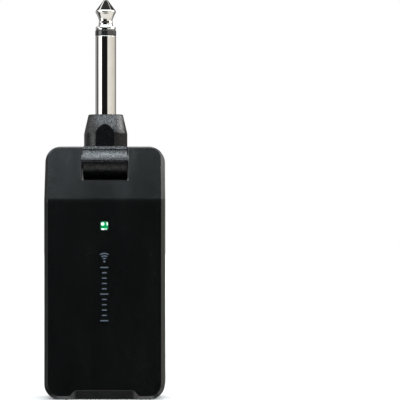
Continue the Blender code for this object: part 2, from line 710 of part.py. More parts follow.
def hinge_parts(plug):
    """Each side: a spindle and its clip on the plug body, a bush and a spring washer in the case."""
    polymer = material("bush_polymer", (0.7, 0.7, 0.66), 0.45)
    washer_steel = material("spring_steel", (0.3, 0.31, 0.34), 0.3, 1.0)
    centre = (0, HINGE_Y, HINGE_Z)
    for side, name in ((-1, "left"), (1, "right")):
        head, neck = 2.9 * MM, SPINDLE_RADIUS
        stations = [(SPINDLE_BORE, 2.9), (head, 2.9), (head, 3.7), (neck, 3.7), (neck, 12.3)]
        stations += [(1.65 * MM, 12.3), (1.65 * MM, 12.95), (neck, 12.95)]
        stations += [(neck, SPINDLE_END / MM), (SPINDLE_BORE, SPINDLE_END / MM)]
        profile = [(radius, side * height * MM) for radius, height in stations]
        place("hinge_spindle_" + name, lathe_bm(profile, "X", centre, 20), steel(), plug)
        low, high = sorted((side * (CHEEK_END + 0.2 * MM), side * 11.3 * MM))
        bush = ring_bm(SPINDLE_RADIUS + 0.09 * MM, BUSH_RADIUS, low, high, "X", centre, 20)
        place("hinge_bush_" + name, bush, polymer)
        low, high = sorted((side * 11.5 * MM, side * 12.0 * MM))
        washer = ring_bm(SPINDLE_RADIUS + 0.15 * MM, 3.1 * MM, low, high, "X", centre, 20)
        place("spring_washer_" + name, washer, washer_steel)
        spindle_clip(side, name, plug, centre)


def spindle_clip(side, name, plug, centre):
    """A C-shaped clip in the spindle's groove."""
    start, end = math.radians(-65), math.radians(245)
    steps = 16
    arc = [start + (end - start) * i / steps for i in range(steps + 1)]
    outline = [(3.3 * MM * math.sin(a), 3.3 * MM * math.cos(a)) for a in arc]
    outline += [(1.8 * MM * math.sin(a), 1.8 * MM * math.cos(a)) for a in reversed(arc)]
    outline = [(centre[1] + y, centre[2] + z) for y, z in outline]
    low, high = sorted((side * 12.4 * MM, side * 12.85 * MM))
    place("spindle_clip_" + name, prism_bm(outline, "X", low, high), steel(), plug)


# --- Plug body: knuckle, boot and 6.35 mm plug ---


def knuckle_outline(upper):
    """The knuckle's section: a barrel split at the seam, with a lip above it that carries the boot."""
    edge = SEAM_GAP / 2
    first = math.asin(edge / KNUCKLE_RADIUS)
    points = []
    if upper:
        last = math.radians(BARREL_END)
        steps = 5
        lip = [(LIP_HALF_DEPTH - LIP_EDGE, LIP_BOTTOM), (LIP_HALF_DEPTH, LIP_BOTTOM + LIP_EDGE)]
        lip += [(LIP_HALF_DEPTH, KNUCKLE_SHOULDER - LIP_EDGE)]
        lip += [(LIP_HALF_DEPTH - LIP_EDGE, KNUCKLE_SHOULDER)]
        side = []
        for i in range(steps + 1):
            angle = first + (last - first) * i / steps
            side.append((KNUCKLE_RADIUS * math.cos(angle), KNUCKLE_RADIUS * math.sin(angle)))
        side += lip
        points = side + [(-y, z) for y, z in reversed(side)]
    else:
        steps = 12
        for i in range(steps + 1):
            angle = math.pi + first + (math.pi - 2 * first) * i / steps
            points.append((KNUCKLE_RADIUS * math.cos(angle), KNUCKLE_RADIUS * math.sin(angle)))
    return [(HINGE_Y + y, HINGE_Z + z) for y, z in points]


def boot_solid():
    """The boot's outside: an oval cylinder, then a cone with a round shoulder, flat front and back."""
    shoulder = 0.5 * MM
    profile = [(0, 76 * MM), (BOOT_HALF_WIDTH, 76 * MM), (BOOT_HALF_WIDTH, BOOT_CONE_START)]
    profile.append((BOOT_TOP_HALF_WIDTH, BOOT_TOP - shoulder))
    steps = 3
    for i in range(1, steps + 1):
        angle = math.pi / 2 * i / steps
        radius = BOOT_TOP_HALF_WIDTH - shoulder * (1 - math.cos(angle))
        profile.append((radius, BOOT_TOP - shoulder * (1 - math.sin(angle))))
    profile.append((0, BOOT_TOP))
    bm = lathe_bm(profile, "Z", (0, 0, 0), 48)
    bm.transform(Matrix.Translation((0, HINGE_Y, 0)) @ Matrix.Diagonal((1, BOOT_DEPTH_RATIO, 1, 1)))
    boot = place("boot_solid", bm)
    for number, sign in enumerate((-1, 1)):
        near, far = sorted((HINGE_Y + sign * BOOT_FLAT, HINGE_Y + sign * 9 * MM))
        flat = box_bm((-9 * MM, near, 70 * MM), (9 * MM, far, 95 * MM))
        combine(boot, place(f"boot_flat_{number}", flat))
    return boot


def plug_housing(plug):
    half = KNUCKLE_HALF_WIDTH
    block = prism_bm(knuckle_outline(True), "X", -half, half)
    housing = place("plug_housing", block, black_nylon(), plug)
    combine(housing, boot_solid(), "UNION")
    centre = (0, HINGE_Y, 0)
    bore = SLEEVE_RADIUS + 0.12 * MM
    profile = [(0, 70 * MM), (BOOT_CAVITY_RADIUS, 70 * MM), (BOOT_CAVITY_RADIUS, BOOT_STEP_Z)]
    profile += [(bore, BOOT_STEP_Z), (bore, 90 * MM), (0, 90 * MM)]
    combine(housing, place("sleeve_bore", lathe_bm(profile, "Z", centre, 32)))
    return housing


def knuckle_cap(plug):
    half = KNUCKLE_HALF_WIDTH
    lower = prism_bm(knuckle_outline(False), "X", -half, half)
    return place("knuckle_cap", lower, black_nylon(), plug)


def cut_knuckle(housing, cap):
    axis = (0, HINGE_Y, HINGE_Z)
    hole = place("spindle_hole", rod_bm(SPINDLE_RADIUS + 0.2 * MM, -9 * MM, 9 * MM, "X", axis, 24))
    pocket = place("spindle_head_pocket", rod_bm(3.2 * MM, -4.1 * MM, 4.1 * MM, "X", axis, 24))
    for piece in (housing, cap):
        combine(piece, hole)
        combine(piece, pocket)
    for name, sign in (("left", -1), ("right", 1)):
        x = sign * 5.0 * MM
        y = HINGE_Y + 3.5 * MM
        head = HINGE_Z - 3.0 * MM
        seat = head + 1.0 * MM
        shape = [(0, 60 * MM), (1.45 * MM, 60 * MM), (1.45 * MM, seat), (0.8 * MM, seat)]
        shape += [(0.8 * MM, HINGE_Z + 3.1 * MM), (0, HINGE_Z + 3.1 * MM)]
        cutter = place(f"cap_screw_hole_{name}", lathe_bm(shape, "Z", (x, y, 0), 12))
        combine(housing, cutter)
        combine(cap, cutter)
        size = (1.2 * MM, 0.8 * MM)
        screw("cap_screw_" + name, (x, y, head), 1, size, 0.6 * MM, 5.8 * MM, "Z", cap.parent)


def plug_sleeve(plug):
    """Ground contact: the long sleeve, a flange inside the boot and a shank for the nut."""
    bore = 2.15 * MM
    edge = 0.25 * MM
    profile = [(bore, 75.2 * MM), (2.6 * MM, 75.2 * MM), (2.6 * MM, 78.5 * MM), (4.2 * MM, 78.5 * MM)]
    profile += [(4.2 * MM, 80.0 * MM), (SLEEVE_RADIUS, 80.0 * MM), (SLEEVE_RADIUS, SLEEVE_TOP - edge)]
    profile += [(SLEEVE_RADIUS - edge, SLEEVE_TOP), (bore, SLEEVE_TOP)]
    place("plug_sleeve", lathe_bm(profile, "Z", (0, HINGE_Y, 0), 32), nickel(), plug)


def plug_tip(plug):
    """Signal contact: pointed tip, neck and collar, with the long rod down to its solder lug."""
    rod = ROD_RADIUS / MM
    collar = (RING_TOP + RING_GAP) / MM
    neck = COLLAR_TOP / MM
    points = [(0, 73.9), (rod, 73.9), (rod, collar), (2.95, collar), (3.1, collar + 0.2)]
    points += [(3.1, neck - 0.3), (2.85, neck), (2.05, neck + 0.05), (1.95, 115.0), (1.92, 115.8)]
    points += [(2.02, 116.6), (2.35, 117.3), (2.72, 117.95), (2.88, 118.3), (2.92, 118.65)]
    points += [(2.84, 118.95), (1.37, 121.3), (0.86, 122.05), (0.45, 122.45), (0, PLUG_TOP / MM)]
    profile = [(radius * MM, height * MM) for radius, height in points]
    place("plug_tip", lathe_bm(profile, "Z", (0, HINGE_Y, 0), 24), nickel(), plug)


def plug_inner_parts(plug):
    centre = (0, HINGE_Y, 0)
    dark = material("insulator_black", (0.02, 0.02, 0.022), 0.3)
    ring = ring_bm(1.25 * MM, SLEEVE_RADIUS, SLEEVE_TOP + RING_GAP, RING_TOP, "Z", centre, 32)
    place("tip_insulator_ring", ring, dark, plug)
    clear = material("insulator_natural", (0.6, 0.58, 0.5), 0.5)
    tube = ring_bm(1.25 * MM, 2.0 * MM, 75.4 * MM, 111.2 * MM, "Z", centre, 24)
    place("tip_insulator_tube", tube, clear, plug)
    hexagon = []
    for i in range(6):
        angle = math.tau * i / 6
        hexagon.append((3.75 * MM * math.cos(angle), HINGE_Y + 3.75 * MM * math.sin(angle)))
    nut = place("plug_nut", prism_bm(hexagon, "Z", 75.9 * MM, 77.5 * MM), steel(), plug)
    combine(nut, place("nut_bore", rod_bm(2.75 * MM, 70 * MM, 80 * MM, "Z", centre, 24)))
    brass = material("tinned_brass", (0.6, 0.55, 0.4), 0.3, 1.0)
    lug = ring_bm(2.75 * MM, 4.1 * MM, 77.75 * MM, 78.25 * MM, "Z", centre, 24)
    place("sleeve_lug", lug, brass, plug)
    washer = ring_bm(1.3 * MM, 2.7 * MM, 74.55 * MM, 75.05 * MM, "Z", centre, 24)
    place("insulating_washer", washer, clear, plug)
    lug = ring_bm(1.2 * MM, 2.4 * MM, 74.0 * MM, 74.35 * MM, "Z", centre, 24)
    place("tip_lug", lug, brass, plug)


def signal_wires(plug):
    """Tip and sleeve wires: out through the left spindle with the plug, then down to the board."""
    radius = 0.35 * MM
    lanes = {"tip": HINGE_Y + 0.5 * MM, "sleeve": HINGE_Y - 0.5 * MM}
    looks = {"tip": (0.65, 0.65, 0.62), "sleeve": (0.02, 0.02, 0.02)}
    from_lug = {
        "tip": [(0.8, 2.35, 73.55), (-0.6, 2.05, 72.8)],
        "sleeve": [(-1.0, -2.93, 77.3), (-1.0, -2.93, 74.9), (-1.3, -1.2, 72.8)],
    }
    to_board = {
        "tip": [(-14.3, 0.9, 65.6), (-12.2, -0.1, 63.1), (-9.8, -0.9, 62.0), (-7.2, -1.5, 61.2)],
        "sleeve": [(-14.3, -0.3, 65.6), (-12.2, -1.2, 63.1), (-9.8, -1.95, 61.9), (-8.0, -2.15, 60.4)],
    }
    to_board["tip"].append((-6.2, -2.15, 60.2))
    for name, y in lanes.items():
        look = material("wire_" + name, looks[name], 0.4)
        inside = [tuple(part * MM for part in point) for point in from_lug[name]]
        inside += [(-2.5 * MM, y, HINGE_Z), (-6.5 * MM, y, HINGE_Z), (-SPINDLE_END, y, HINGE_Z)]
        wire(f"{name}_wire_hinge", smooth_route(inside), radius, look, plug)
        onward = [(-13.75 * MM, y, HINGE_Z), (-14.6 * MM, y, 71.6 * MM), (-14.9 * MM, y, 69.0 * MM)]
        onward += [tuple(part * MM for part in point) for point in to_board[name]]
        wire(f"{name}_wire_case", smooth_route(onward), radius, look)


def moving_frame(name, location):
    made = bpy.data.objects.new(name, None)
    made.location = location
    bpy.context.scene.collection.objects.link(made)
    return made


def main():
    clear_scene()
    plug = moving_frame("plug_hinge_axis", (0, HINGE_Y, HINGE_Z))
    slider = moving_frame("power_slider_axis", (17 * MM, CONTROL_Y, CONTROL_Z - SLIDER_TRAVEL / 2))
    button = moving_frame("pair_button_axis", (-17 * MM, CONTROL_Y, CONTROL_Z))
    cut_openings(front_cover(), rear_cover())
    led_window()
    power_slider(slider)
    power_switch_body()
    pair_button(button)
    tact_switch_body()
    usb_port()
    main_board()
    board_parts()
    shield_can()
    battery()
    case_screws()
    hinge_parts(plug)
    cut_knuckle(plug_housing(plug), knuckle_cap(plug))
    plug_sleeve(plug)
    plug_tip(plug)
    plug_inner_parts(plug)
    signal_wires(plug)


main()
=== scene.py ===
"""Looks of the hinged wireless guitar transmitter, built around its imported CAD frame.

Metres, in the frame's own axes: +Z up the device, +X to the right, the printed face towards -Y.
"""

import json
import math

import bmesh
import bpy
from mathutils import Matrix, Vector


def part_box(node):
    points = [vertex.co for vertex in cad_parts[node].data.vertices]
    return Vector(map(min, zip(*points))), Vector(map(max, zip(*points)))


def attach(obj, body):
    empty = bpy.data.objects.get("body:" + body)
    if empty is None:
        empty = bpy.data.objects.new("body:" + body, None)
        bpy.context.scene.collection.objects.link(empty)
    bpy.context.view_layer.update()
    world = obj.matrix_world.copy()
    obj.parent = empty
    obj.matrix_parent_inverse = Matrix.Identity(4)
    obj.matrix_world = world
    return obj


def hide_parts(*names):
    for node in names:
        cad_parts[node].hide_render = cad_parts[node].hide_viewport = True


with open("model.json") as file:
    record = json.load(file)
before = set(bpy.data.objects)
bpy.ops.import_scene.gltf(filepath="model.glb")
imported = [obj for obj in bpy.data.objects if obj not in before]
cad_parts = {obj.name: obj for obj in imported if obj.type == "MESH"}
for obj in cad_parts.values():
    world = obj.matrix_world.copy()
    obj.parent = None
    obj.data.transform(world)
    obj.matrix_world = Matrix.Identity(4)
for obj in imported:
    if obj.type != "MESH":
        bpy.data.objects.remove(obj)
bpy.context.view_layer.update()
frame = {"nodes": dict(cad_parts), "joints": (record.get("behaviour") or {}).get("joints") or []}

MM = 0.001

# Places and sizes read from the frame
JOINTS = {joint["name"]: joint for joint in frame["joints"]}
HINGE = Vector(JOINTS["plug_hinge"]["pos_m"])
FRONT_LOW, FRONT_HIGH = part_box("front_cover")
REAR_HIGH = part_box("rear_cover")[1]
HALF_WIDTH = FRONT_HIGH.x
HEIGHT = FRONT_HIGH.z
FACE_Y = FRONT_LOW.y
BACK_Y = REAR_HIGH.y
KNUCKLE_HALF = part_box("knuckle_cap")[1].x
SLEEVE_LOW, SLEEVE_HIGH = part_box("plug_sleeve")
RING_LOW, RING_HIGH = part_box("tip_insulator_ring")
TIP_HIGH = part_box("plug_tip")[1]
BOOT_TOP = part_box("plug_housing")[1].z
WINDOW_LOW, WINDOW_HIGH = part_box("led_window")
SLIDER_LOW, SLIDER_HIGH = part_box("power_slider")
BUTTON_LOW, BUTTON_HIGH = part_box("pair_button")
PORT_LOW, PORT_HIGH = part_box("usb_c_shell")
WINDOW_Z = (WINDOW_LOW.z + WINDOW_HIGH.z) / 2
PORT_Y = (PORT_LOW.y + PORT_HIGH.y) / 2

# Case shape
CORNER_RADIUS = 4.75 * MM
CREASE_Z = 60.7 * MM
CREASE_BLEND = 0.9 * MM
SLOPE = math.tan(math.radians(11.0))
TOP_NARROWING = 0.25 * MM
CHAMFER = 1.1 * MM
TOP_CHAMFER = 0.35 * MM
BACK_FILLET = 2.0 * MM
WALL = 1.5 * MM
SEAM = 0.05 * MM
EDGE_RADIUS = 0.09 * MM
CORNER_STEPS = 14
NOTCH_HALF = KNUCKLE_HALF + 0.375 * MM
NOTCH_DEPTH = 5.87 * MM
SOCKET_RADIUS = 7.2 * MM
SPINDLE_RADIUS = 2.0 * MM
CAVITY_TOP = 64 * MM

# Middle of the slider and of the pairing button, as they are seen from the side
CONTROL_Y = -1.7 * MM
CONTROL_Z = 40.0 * MM

# Usual angle in degrees below which two faces shade as one
SMOOTH_BELOW = 35.0

# Distances below which vertices count as one
SAME_POINT = 1e-7
SAME_AFTER_CUTS = 0.01 * MM
SAME_AFTER_BEVEL = 0.002 * MM

# Knuckle, boot and plug shape
KNUCKLE_RADIUS = 5.83 * MM
KNUCKLE_SHOULDER = 4.55 * MM
BROW_RADIUS = 8.0 * MM
BROW_START = 7.0
BROW_END = 34.0
LIP_HALF_DEPTH = 4.85 * MM
LIP_BOTTOM = 3.55 * MM
LIP_LEAN = 11.0
LIP_EDGE = 0.3 * MM
BOOT_HALF_WIDTH = 6.7 * MM
BOOT_REACH = 5.21 * MM
BOOT_FLAT = 4.6 * MM
BOOT_CONE_START = 81.2 * MM
BOOT_TOP_HALF = 5.45 * MM
SLEEVE_RADIUS = RING_HIGH.x


# --- Mesh helpers ---


def place(name, bm, look=None):
    """Turns a bmesh in frame coordinates into an object."""
    bmesh.ops.remove_doubles(bm, verts=bm.verts, dist=SAME_POINT)
    bmesh.ops.recalc_face_normals(bm, faces=bm.faces)
    mesh = bpy.data.meshes.new(name)
    bm.to_mesh(mesh)
    bm.free()
    made = bpy.data.objects.new(name, mesh)
    bpy.context.scene.collection.objects.link(made)
    if look is not None:
        mesh.materials.append(look)
    return made


def carve(piece, cutter, operation="DIFFERENCE"):
    """Applies one exact Boolean at once and removes the cutter."""
    change = piece.modifiers.new("carve", "BOOLEAN")
    change.operation = operation
    change.object = cutter
    change.solver = "EXACT"
    graph = bpy.context.evaluated_depsgraph_get()
    shaped = bpy.data.meshes.new_from_object(piece.evaluated_get(graph))
    piece.modifiers.clear()
    piece.data = shaped
    spent = cutter.data
    bpy.data.objects.remove(cutter)
    bpy.data.meshes.remove(spent)


def soften(piece, width=EDGE_RADIUS, limit=16.0, segments=2, keep=None):
    """Rounds every sharp edge by a small radius; keep(edge) can leave one out."""
    bm = bmesh.new()
    bm.from_mesh(piece.data)
    bmesh.ops.remove_doubles(bm, verts=bm.verts, dist=SAME_AFTER_CUTS)
    bmesh.ops.dissolve_degenerate(bm, edges=bm.edges, dist=SAME_AFTER_CUTS)
    straight = math.radians(1.0)
    bmesh.ops.dissolve_limit(bm, verts=bm.verts, edges=bm.edges, angle_limit=straight)
    sharp = []
    for edge in bm.edges:
        if not edge.is_manifold or edge.calc_face_angle(0.0) < math.radians(limit):
            continue
        if keep is None or not keep(edge):
            sharp.append(edge)
    bmesh.ops.bevel(
        bm, geom=sharp, offset=width, segments=segments, profile=0.5,
        affect="EDGES", clamp_overlap=False, miter_outer="ARC",
    )
    bmesh.ops.remove_doubles(bm, verts=bm.verts, dist=SAME_AFTER_BEVEL)
    bm.to_mesh(piece.data)
    bm.free()


def smooth(piece, angle):
    """Smooth shading with face-weighted normals, so that flats stay flat beside small radii."""
    piece.data.shade_smooth()
    piece.data.set_sharp_from_angle(angle=math.radians(angle))
    weigh = piece.modifiers.new("weighted", "WEIGHTED_NORMAL")
    weigh.keep_sharp = True


def stand_in(piece, angle, body, slot, *nodes):
    """Smooths a finished piece and puts it on its body, in place of the frame's own nodes."""
    smooth(piece, angle)
    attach(piece, body)
    if nodes:
        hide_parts(*nodes)


def box_bm(low, high):
    bm = bmesh.new()
    bmesh.ops.create_cube(bm, size=1.0)
    middle = (Vector(low) + Vector(high)) / 2
    size = Vector(high) - Vector(low)
    for vert in bm.verts:
        vert.co = Vector(co * side for co, side in zip(vert.co, size)) + middle
    return bm


def bridge(bm, first, second):
    count = len(first)
    for i in range(count):
        j = (i + 1) % count
        bm.faces.new((first[i], first[j], second[j], second[i]))


def loft_bm(rings, cap_start=True, cap_end=True):
    """A closed body through rings of the same number of points."""
    bm = bmesh.new()
    loops = [[bm.verts.new(point) for point in ring] for ring in rings]
    for first, second in zip(loops, loops[1:]):
        bridge(bm, first, second)
    if cap_start:
        bm.faces.new(loops[0])
    if cap_end:
        bm.faces.new(loops[-1])
    return bm


def along(axis, outline, level):
    """A flat outline as 3-D points at one level of an axis."""
    ring = []
    for u, v in outline:
        point = [u, v]
        point.insert("XYZ".index(axis), level)
        ring.append(tuple(point))
    return ring


def prism_bm(outline, axis, low, high):
    return loft_bm([along(axis, outline, low), along(axis, outline, high)])


def lathe_bm(profile, axis="Z", centre=(0, 0, 0), segments=96):
    """Turns a closed profile of (radius, height) points about an axis; a zero radius closes the end."""
    bm = bmesh.new()
    verts = [bm.verts.new((radius, 0, height)) for radius, height in profile]
    edges = [bm.edges.new(pair) for pair in zip(verts, verts[1:])]
    if profile[0][0] > 0 and profile[-1][0] > 0:
        edges.append(bm.edges.new((verts[-1], verts[0])))
    bmesh.ops.spin(
        bm, geom=verts + edges, cent=(0, 0, 0), axis=(0, 0, 1), angle=math.tau,
        steps=segments, use_merge=True,
    )
    bmesh.ops.remove_doubles(bm, verts=bm.verts, dist=SAME_POINT)
    turn = {"X": Matrix.Rotation(math.pi / 2, 4, "Y"), "Y": Matrix.Rotation(-math.pi / 2, 4, "X")}
    bm.transform(Matrix.Translation(centre) @ turn.get(axis, Matrix.Identity(4)))
    return bm


def rod_bm(radius, low, high, axis="Z", centre=(0, 0, 0), segments=48):
    return lathe_bm([(0, low), (radius, low), (radius, high), (0, high)], axis, centre, segments)


def arc(centre_u, centre_v, radius, start, end, steps):
    """Points on an arc in (u, v), angles in degrees."""
    points = []
    for i in range(steps + 1):
        angle = math.radians(start + (end - start) * i / steps)
        points.append((centre_u + radius * math.cos(angle), centre_v + radius * math.sin(angle)))
    return points


def round_rect(half_u, half_v, radius, steps=8, middle=(0, 0)):
    points = []
    for sign_u, sign_v, start in ((1, 1, 0), (-1, 1, 90), (-1, -1, 180), (1, -1, 270)):
        u = middle[0] + sign_u * (half_u - radius)
        v = middle[1] + sign_v * (half_v - radius)
        points += arc(u, v, radius, start, start + 90, steps)
    return points


def pillow_bm(half_u, half_v, radius, axis, base, top, middle, edge, crown=0.0):
    """A round-cornered pad along an axis, from base to top, with a rounded rim and a crown."""
    sign = 1 if top > base else -1
    height = abs(top - base)
    steps = 5
    rings = [along(axis, round_rect(half_u, half_v, radius, 8, middle), base)]
    for i in range(steps + 1):
        angle = math.pi / 2 * i / steps
        inset = edge * (1 - math.cos(angle))
        level = base + sign * (height - crown - edge * (1 - math.sin(angle)))
        outline = round_rect(half_u - inset, half_v - inset, radius - inset * 0.6, 8, middle)
        rings.append(along(axis, outline, level))
    inner = (half_u - edge, half_v - edge, radius - edge * 0.6)
    for share in (0.75, 0.5, 0.25, 0.08):
        outline = round_rect(inner[0] * share, inner[1] * share, inner[2] * share, 8, middle)
        level = base + sign * (height - crown * share * share)
        rings.append(along(axis, outline, level))
    return loft_bm(rings)


# --- Material helpers ---


class Nodes:
    """Short ways to add nodes to a tree."""

    def __init__(self, tree):
        self.tree = tree

    def node(self, kind):
        return self.tree.nodes.new("ShaderNode" + kind)

    def link(self, source, target):
        self.tree.links.new(source, target)

    def split(self, vector):
        node = self.node("SeparateXYZ")
        self.link(vector, node.inputs["Vector"])
        return node.outputs

    def span(self, value, low, high, to_low=0.0, to_high=1.0):
        node = self.node("MapRange")
        node.interpolation_type = "SMOOTHSTEP"
        self.link(value, node.inputs["Value"])
        settings = (("From Min", low), ("From Max", high), ("To Min", to_low), ("To Max", to_high))
        for name, number in settings:
            node.inputs[name].default_value = number
        return node.outputs["Result"]

    def maths(self, operation, *values):
        node = self.node("Math")
        node.operation = operation
        for socket, value in zip(node.inputs, values):
            if isinstance(value, (int, float)):
                socket.default_value = value
            else:
                self.link(value, socket)
        return node.outputs["Value"]


class Look(Nodes):
    """A Principled material and short ways to add procedural detail to it."""

    def __init__(self, name, roughness=0.5, metallic=0.0):
        self.made = bpy.data.materials.new(name)
        self.made.use_nodes = True
        super().__init__(self.made.node_tree)
        self.shader = self.tree.nodes["Principled BSDF"]
        self.shader.inputs["Roughness"].default_value = roughness
        self.shader.inputs["Metallic"].default_value = metallic
        self.coordinates = self.node("TexCoord")
        self.place = self.coordinates.outputs["Object"]

    def stretched(self, scale):
        """Object coordinates in millimetres, stretched by a factor on each axis."""
        mapping = self.node("Mapping")
        mapping.inputs["Scale"].default_value = tuple(part / MM for part in scale)
        self.link(self.place, mapping.inputs["Vector"])
        return mapping.outputs["Vector"]

    def noise(self, per_mm, detail=2.0, roughness=0.5, stretch=(1, 1, 1)):
        node = self.node("TexNoise")
        node.inputs["Scale"].default_value = per_mm
        node.inputs["Detail"].default_value = detail
        node.inputs["Roughness"].default_value = roughness
        self.link(self.stretched(stretch), node.inputs["Vector"])
        return node.outputs["Fac"]

    def cells(self, per_mm, stretch=(1, 1, 1)):
        node = self.node("TexVoronoi")
        node.inputs["Scale"].default_value = per_mm
        self.link(self.stretched(stretch), node.inputs["Vector"])
        return node.outputs["Distance"]

    def colours(self, share, *stops):
        """Linear colours blended by a share from 0 to 1."""
        node = self.node("ValToRGB")
        ramp = node.color_ramp
        while len(ramp.elements) < len(stops):
            ramp.elements.new(0.5)
        for element, (position, colour) in zip(ramp.elements, stops):
            element.position = position
            element.color = (*colour, 1.0)
        self.link(share, node.inputs["Fac"])
        self.link(node.outputs["Color"], self.shader.inputs["Base Color"])
        return node.outputs["Color"]

    def bump(self, height, depth_mm):
        """Adds relief on top of any relief that is there."""
        node = self.node("Bump")
        node.inputs["Distance"].default_value = depth_mm * MM
        node.inputs["Strength"].default_value = 1.0
        self.link(height, node.inputs["Height"])
        normal = self.shader.inputs["Normal"]
        if normal.is_linked:
            self.link(normal.links[0].from_socket, node.inputs["Normal"])
        self.link(node.outputs["Normal"], normal)

    def rough(self, value):
        self.link(value, self.shader.inputs["Roughness"])

    def set(self, **sockets):
        for name, value in sockets.items():
            self.shader.inputs[name.replace("_", " ")].default_value = value


def moulded(name, dark, light, roughness, grain_mm, grain_depth, level=0.5, sheen=None):
    """Spark-eroded black plastic: fine grain, a slight mottle in colour and uneven gloss.

    Sheen, a (height, reflection) pair, makes the reflection sparkle. Above the height it falls to
    the pair's value, a painted shade, except on faces that turn to the left or lean upwards, which
    keep a stronger reflection, a painted highlight.
    """
    look = Look(name, roughness)
    mottle = look.noise(1.1, 3.0, 0.6)
    grain = look.noise(1.0 / grain_mm, 2.0, 0.55)
    look.colours(look.span(mottle, 0.35, 0.65), (0.0, dark), (1.0, light))
    wipe = look.noise(0.12, 4.0, 0.6, (1.0, 1.0, 0.35))
    gloss = look.maths("ADD", look.span(wipe, 0.3, 0.7, -0.03, 0.03), roughness)
    look.rough(look.maths("ADD", gloss, look.span(grain, 0.3, 0.7, -0.05, 0.05)))
    look.bump(grain, grain_depth)
    look.bump(mottle, grain_depth * 0.15)
    look.set(Specular_IOR_Level=level)
    if sheen is not None:
        height, upright_painted_shade = sheen
        # Painted light: faces turned to the left reflect more (a painted highlight), and upright faces
        # above the height reflect less (a painted shade)
        lean = look.split(look.coordinates.outputs["Normal"])
        before = look.span(look.split(look.place)["Z"], height, height + 0.5 * MM, level, 0.0)
        left_painted_sheen = look.span(lean["X"], -0.55, -0.3, 0.7 * level, upright_painted_shade)
        facing_painted_sheen = look.maths("MAXIMUM", look.span(lean["Z"], 0.02, 0.22, 0.0, 0.6 * level), left_painted_sheen)
        sparkle = look.span(look.noise(2.6, 1.0, 0.5), 0.38, 0.62, 0.62, 1.38)
        shine = look.maths("MULTIPLY", look.maths("MAXIMUM", before, facing_painted_sheen), sparkle)
        look.link(shine, look.shader.inputs["Specular IOR Level"])
    return look.made


def plated(name, colour, roughness):
    """Bright plating over turned metal: faint rings round Z and soft clouding."""
    look = Look(name, roughness, 1.0)
    rings = look.noise(6.0, 2.0, 0.6, (0.02, 0.02, 1.0))
    cloud = look.noise(0.35, 3.0, 0.6)
    low = tuple(part * 0.94 for part in colour)
    look.colours(look.span(cloud, 0.3, 0.7), (0.0, low), (1.0, colour))
    gloss = look.maths("ADD", look.span(rings, 0.3, 0.7, -0.02, 0.03), roughness)
    look.rough(look.maths("ADD", gloss, look.span(cloud, 0.3, 0.7, -0.01, 0.02)))
    look.bump(rings, 0.0006)
    return look.made


def metal(name, colour, roughness, stretch=(1, 1, 1), per_mm=5.0):
    """Plain metal with a brushed or cast grain."""
    look = Look(name, roughness, 1.0)
    grain = look.noise(per_mm, 3.0, 0.6, stretch)
    low = tuple(part * 0.8 for part in colour)
    look.colours(look.span(grain, 0.3, 0.7), (0.0, low), (1.0, colour))
    look.rough(look.span(grain, 0.3, 0.7, roughness * 0.8, roughness * 1.25))
    look.bump(grain, 0.004)
    return look.made


def dull(name, dark, light, roughness, per_mm=3.0, depth_mm=0.01, level=0.5):
    """A non-metal with a soft mottle."""
    look = Look(name, roughness)
    grain = look.noise(per_mm, 4.0, 0.6)
    look.colours(look.span(grain, 0.3, 0.7), (0.0, dark), (1.0, light))
    look.rough(look.span(grain, 0.3, 0.7, roughness * 0.9, min(1.0, roughness * 1.1)))
    look.bump(grain, depth_mm)
    look.set(Specular_IOR_Level=level)
    return look.made


def lit_green():
    """The status window: clear green plastic over a green lamp, with painted highlights drawn as white
    emission: a spot at its upper left and strips at its right and bottom.
    """
    look = Look("led_green", 0.1)
    place_of = look.split(look.place)
    across = look.maths("DIVIDE", place_of["X"], MM)
    up = look.maths("DIVIDE", look.maths("SUBTRACT", place_of["Z"], WINDOW_Z), MM)

    soft = 0.35

    def spot(x, z, half_x, half_z):
        """1 inside an oval, falling to 0 outside it."""
        over_x = look.maths("DIVIDE", look.maths("SUBTRACT", across, x), half_x)
        over_z = look.maths("DIVIDE", look.maths("SUBTRACT", up, z), half_z)
        square = look.maths(
            "ADD", look.maths("MULTIPLY", over_x, over_x), look.maths("MULTIPLY", over_z, over_z)
        )
        return look.span(square, 1 - soft, 1 + soft, 1.0, 0.0)

    # Painted highlights: the white spot at the upper left is a highlight on the lens, drawn as the lamp
    # burning white, and the strips at the right and bottom are painted reflections of the rim
    painted_highlight = spot(-0.52, 0.5, 0.5, 0.42)
    for shape in ((0.88, 0.55, 0.12, 0.55), (-0.45, -1.02, 0.55, 0.17), (0.55, -0.98, 0.25, 0.1)):
        painted_highlight = look.maths("MAXIMUM", painted_highlight, spot(*shape))
    haze = look.noise(1.4, 2.0, 0.5)
    painted_highlight = look.maths("MULTIPLY", painted_highlight, look.span(haze, 0.2, 0.5, 0.75, 1.0))
    colour = look.colours(
        painted_highlight, (0.0, (0.0, 0.17, 0.045)), (0.35, (0.05, 0.38, 0.19)), (1.0, (0.85, 0.95, 0.91))
    )
    look.link(colour, look.shader.inputs["Emission Color"])
    look.link(look.span(painted_highlight, 0.0, 1.0, 0.55, 1.0), look.shader.inputs["Emission Strength"])
    look.set(Coat_Weight=0.4, Coat_Roughness=0.06, IOR=1.5)
    look.bump(haze, 0.01)
    return look.made


def circuit_board():
    """Solder mask over faint traces."""
    look = Look("board_green", 0.35)
    across = look.cells(0.9, (1.0, 1.0, 0.25))
    along_z = look.cells(0.7, (0.25, 1.0, 1.0))
    trace = look.maths("MINIMUM", look.span(across, 0.12, 0.16), look.span(along_z, 0.12, 0.16))
    look.colours(trace, (0.0, (0.02, 0.16, 0.07)), (1.0, (0.006, 0.07, 0.03)))
    look.bump(trace, -0.02)
    look.rough(look.span(look.noise(2.0), 0.3, 0.7, 0.28, 0.42))
    return look.made


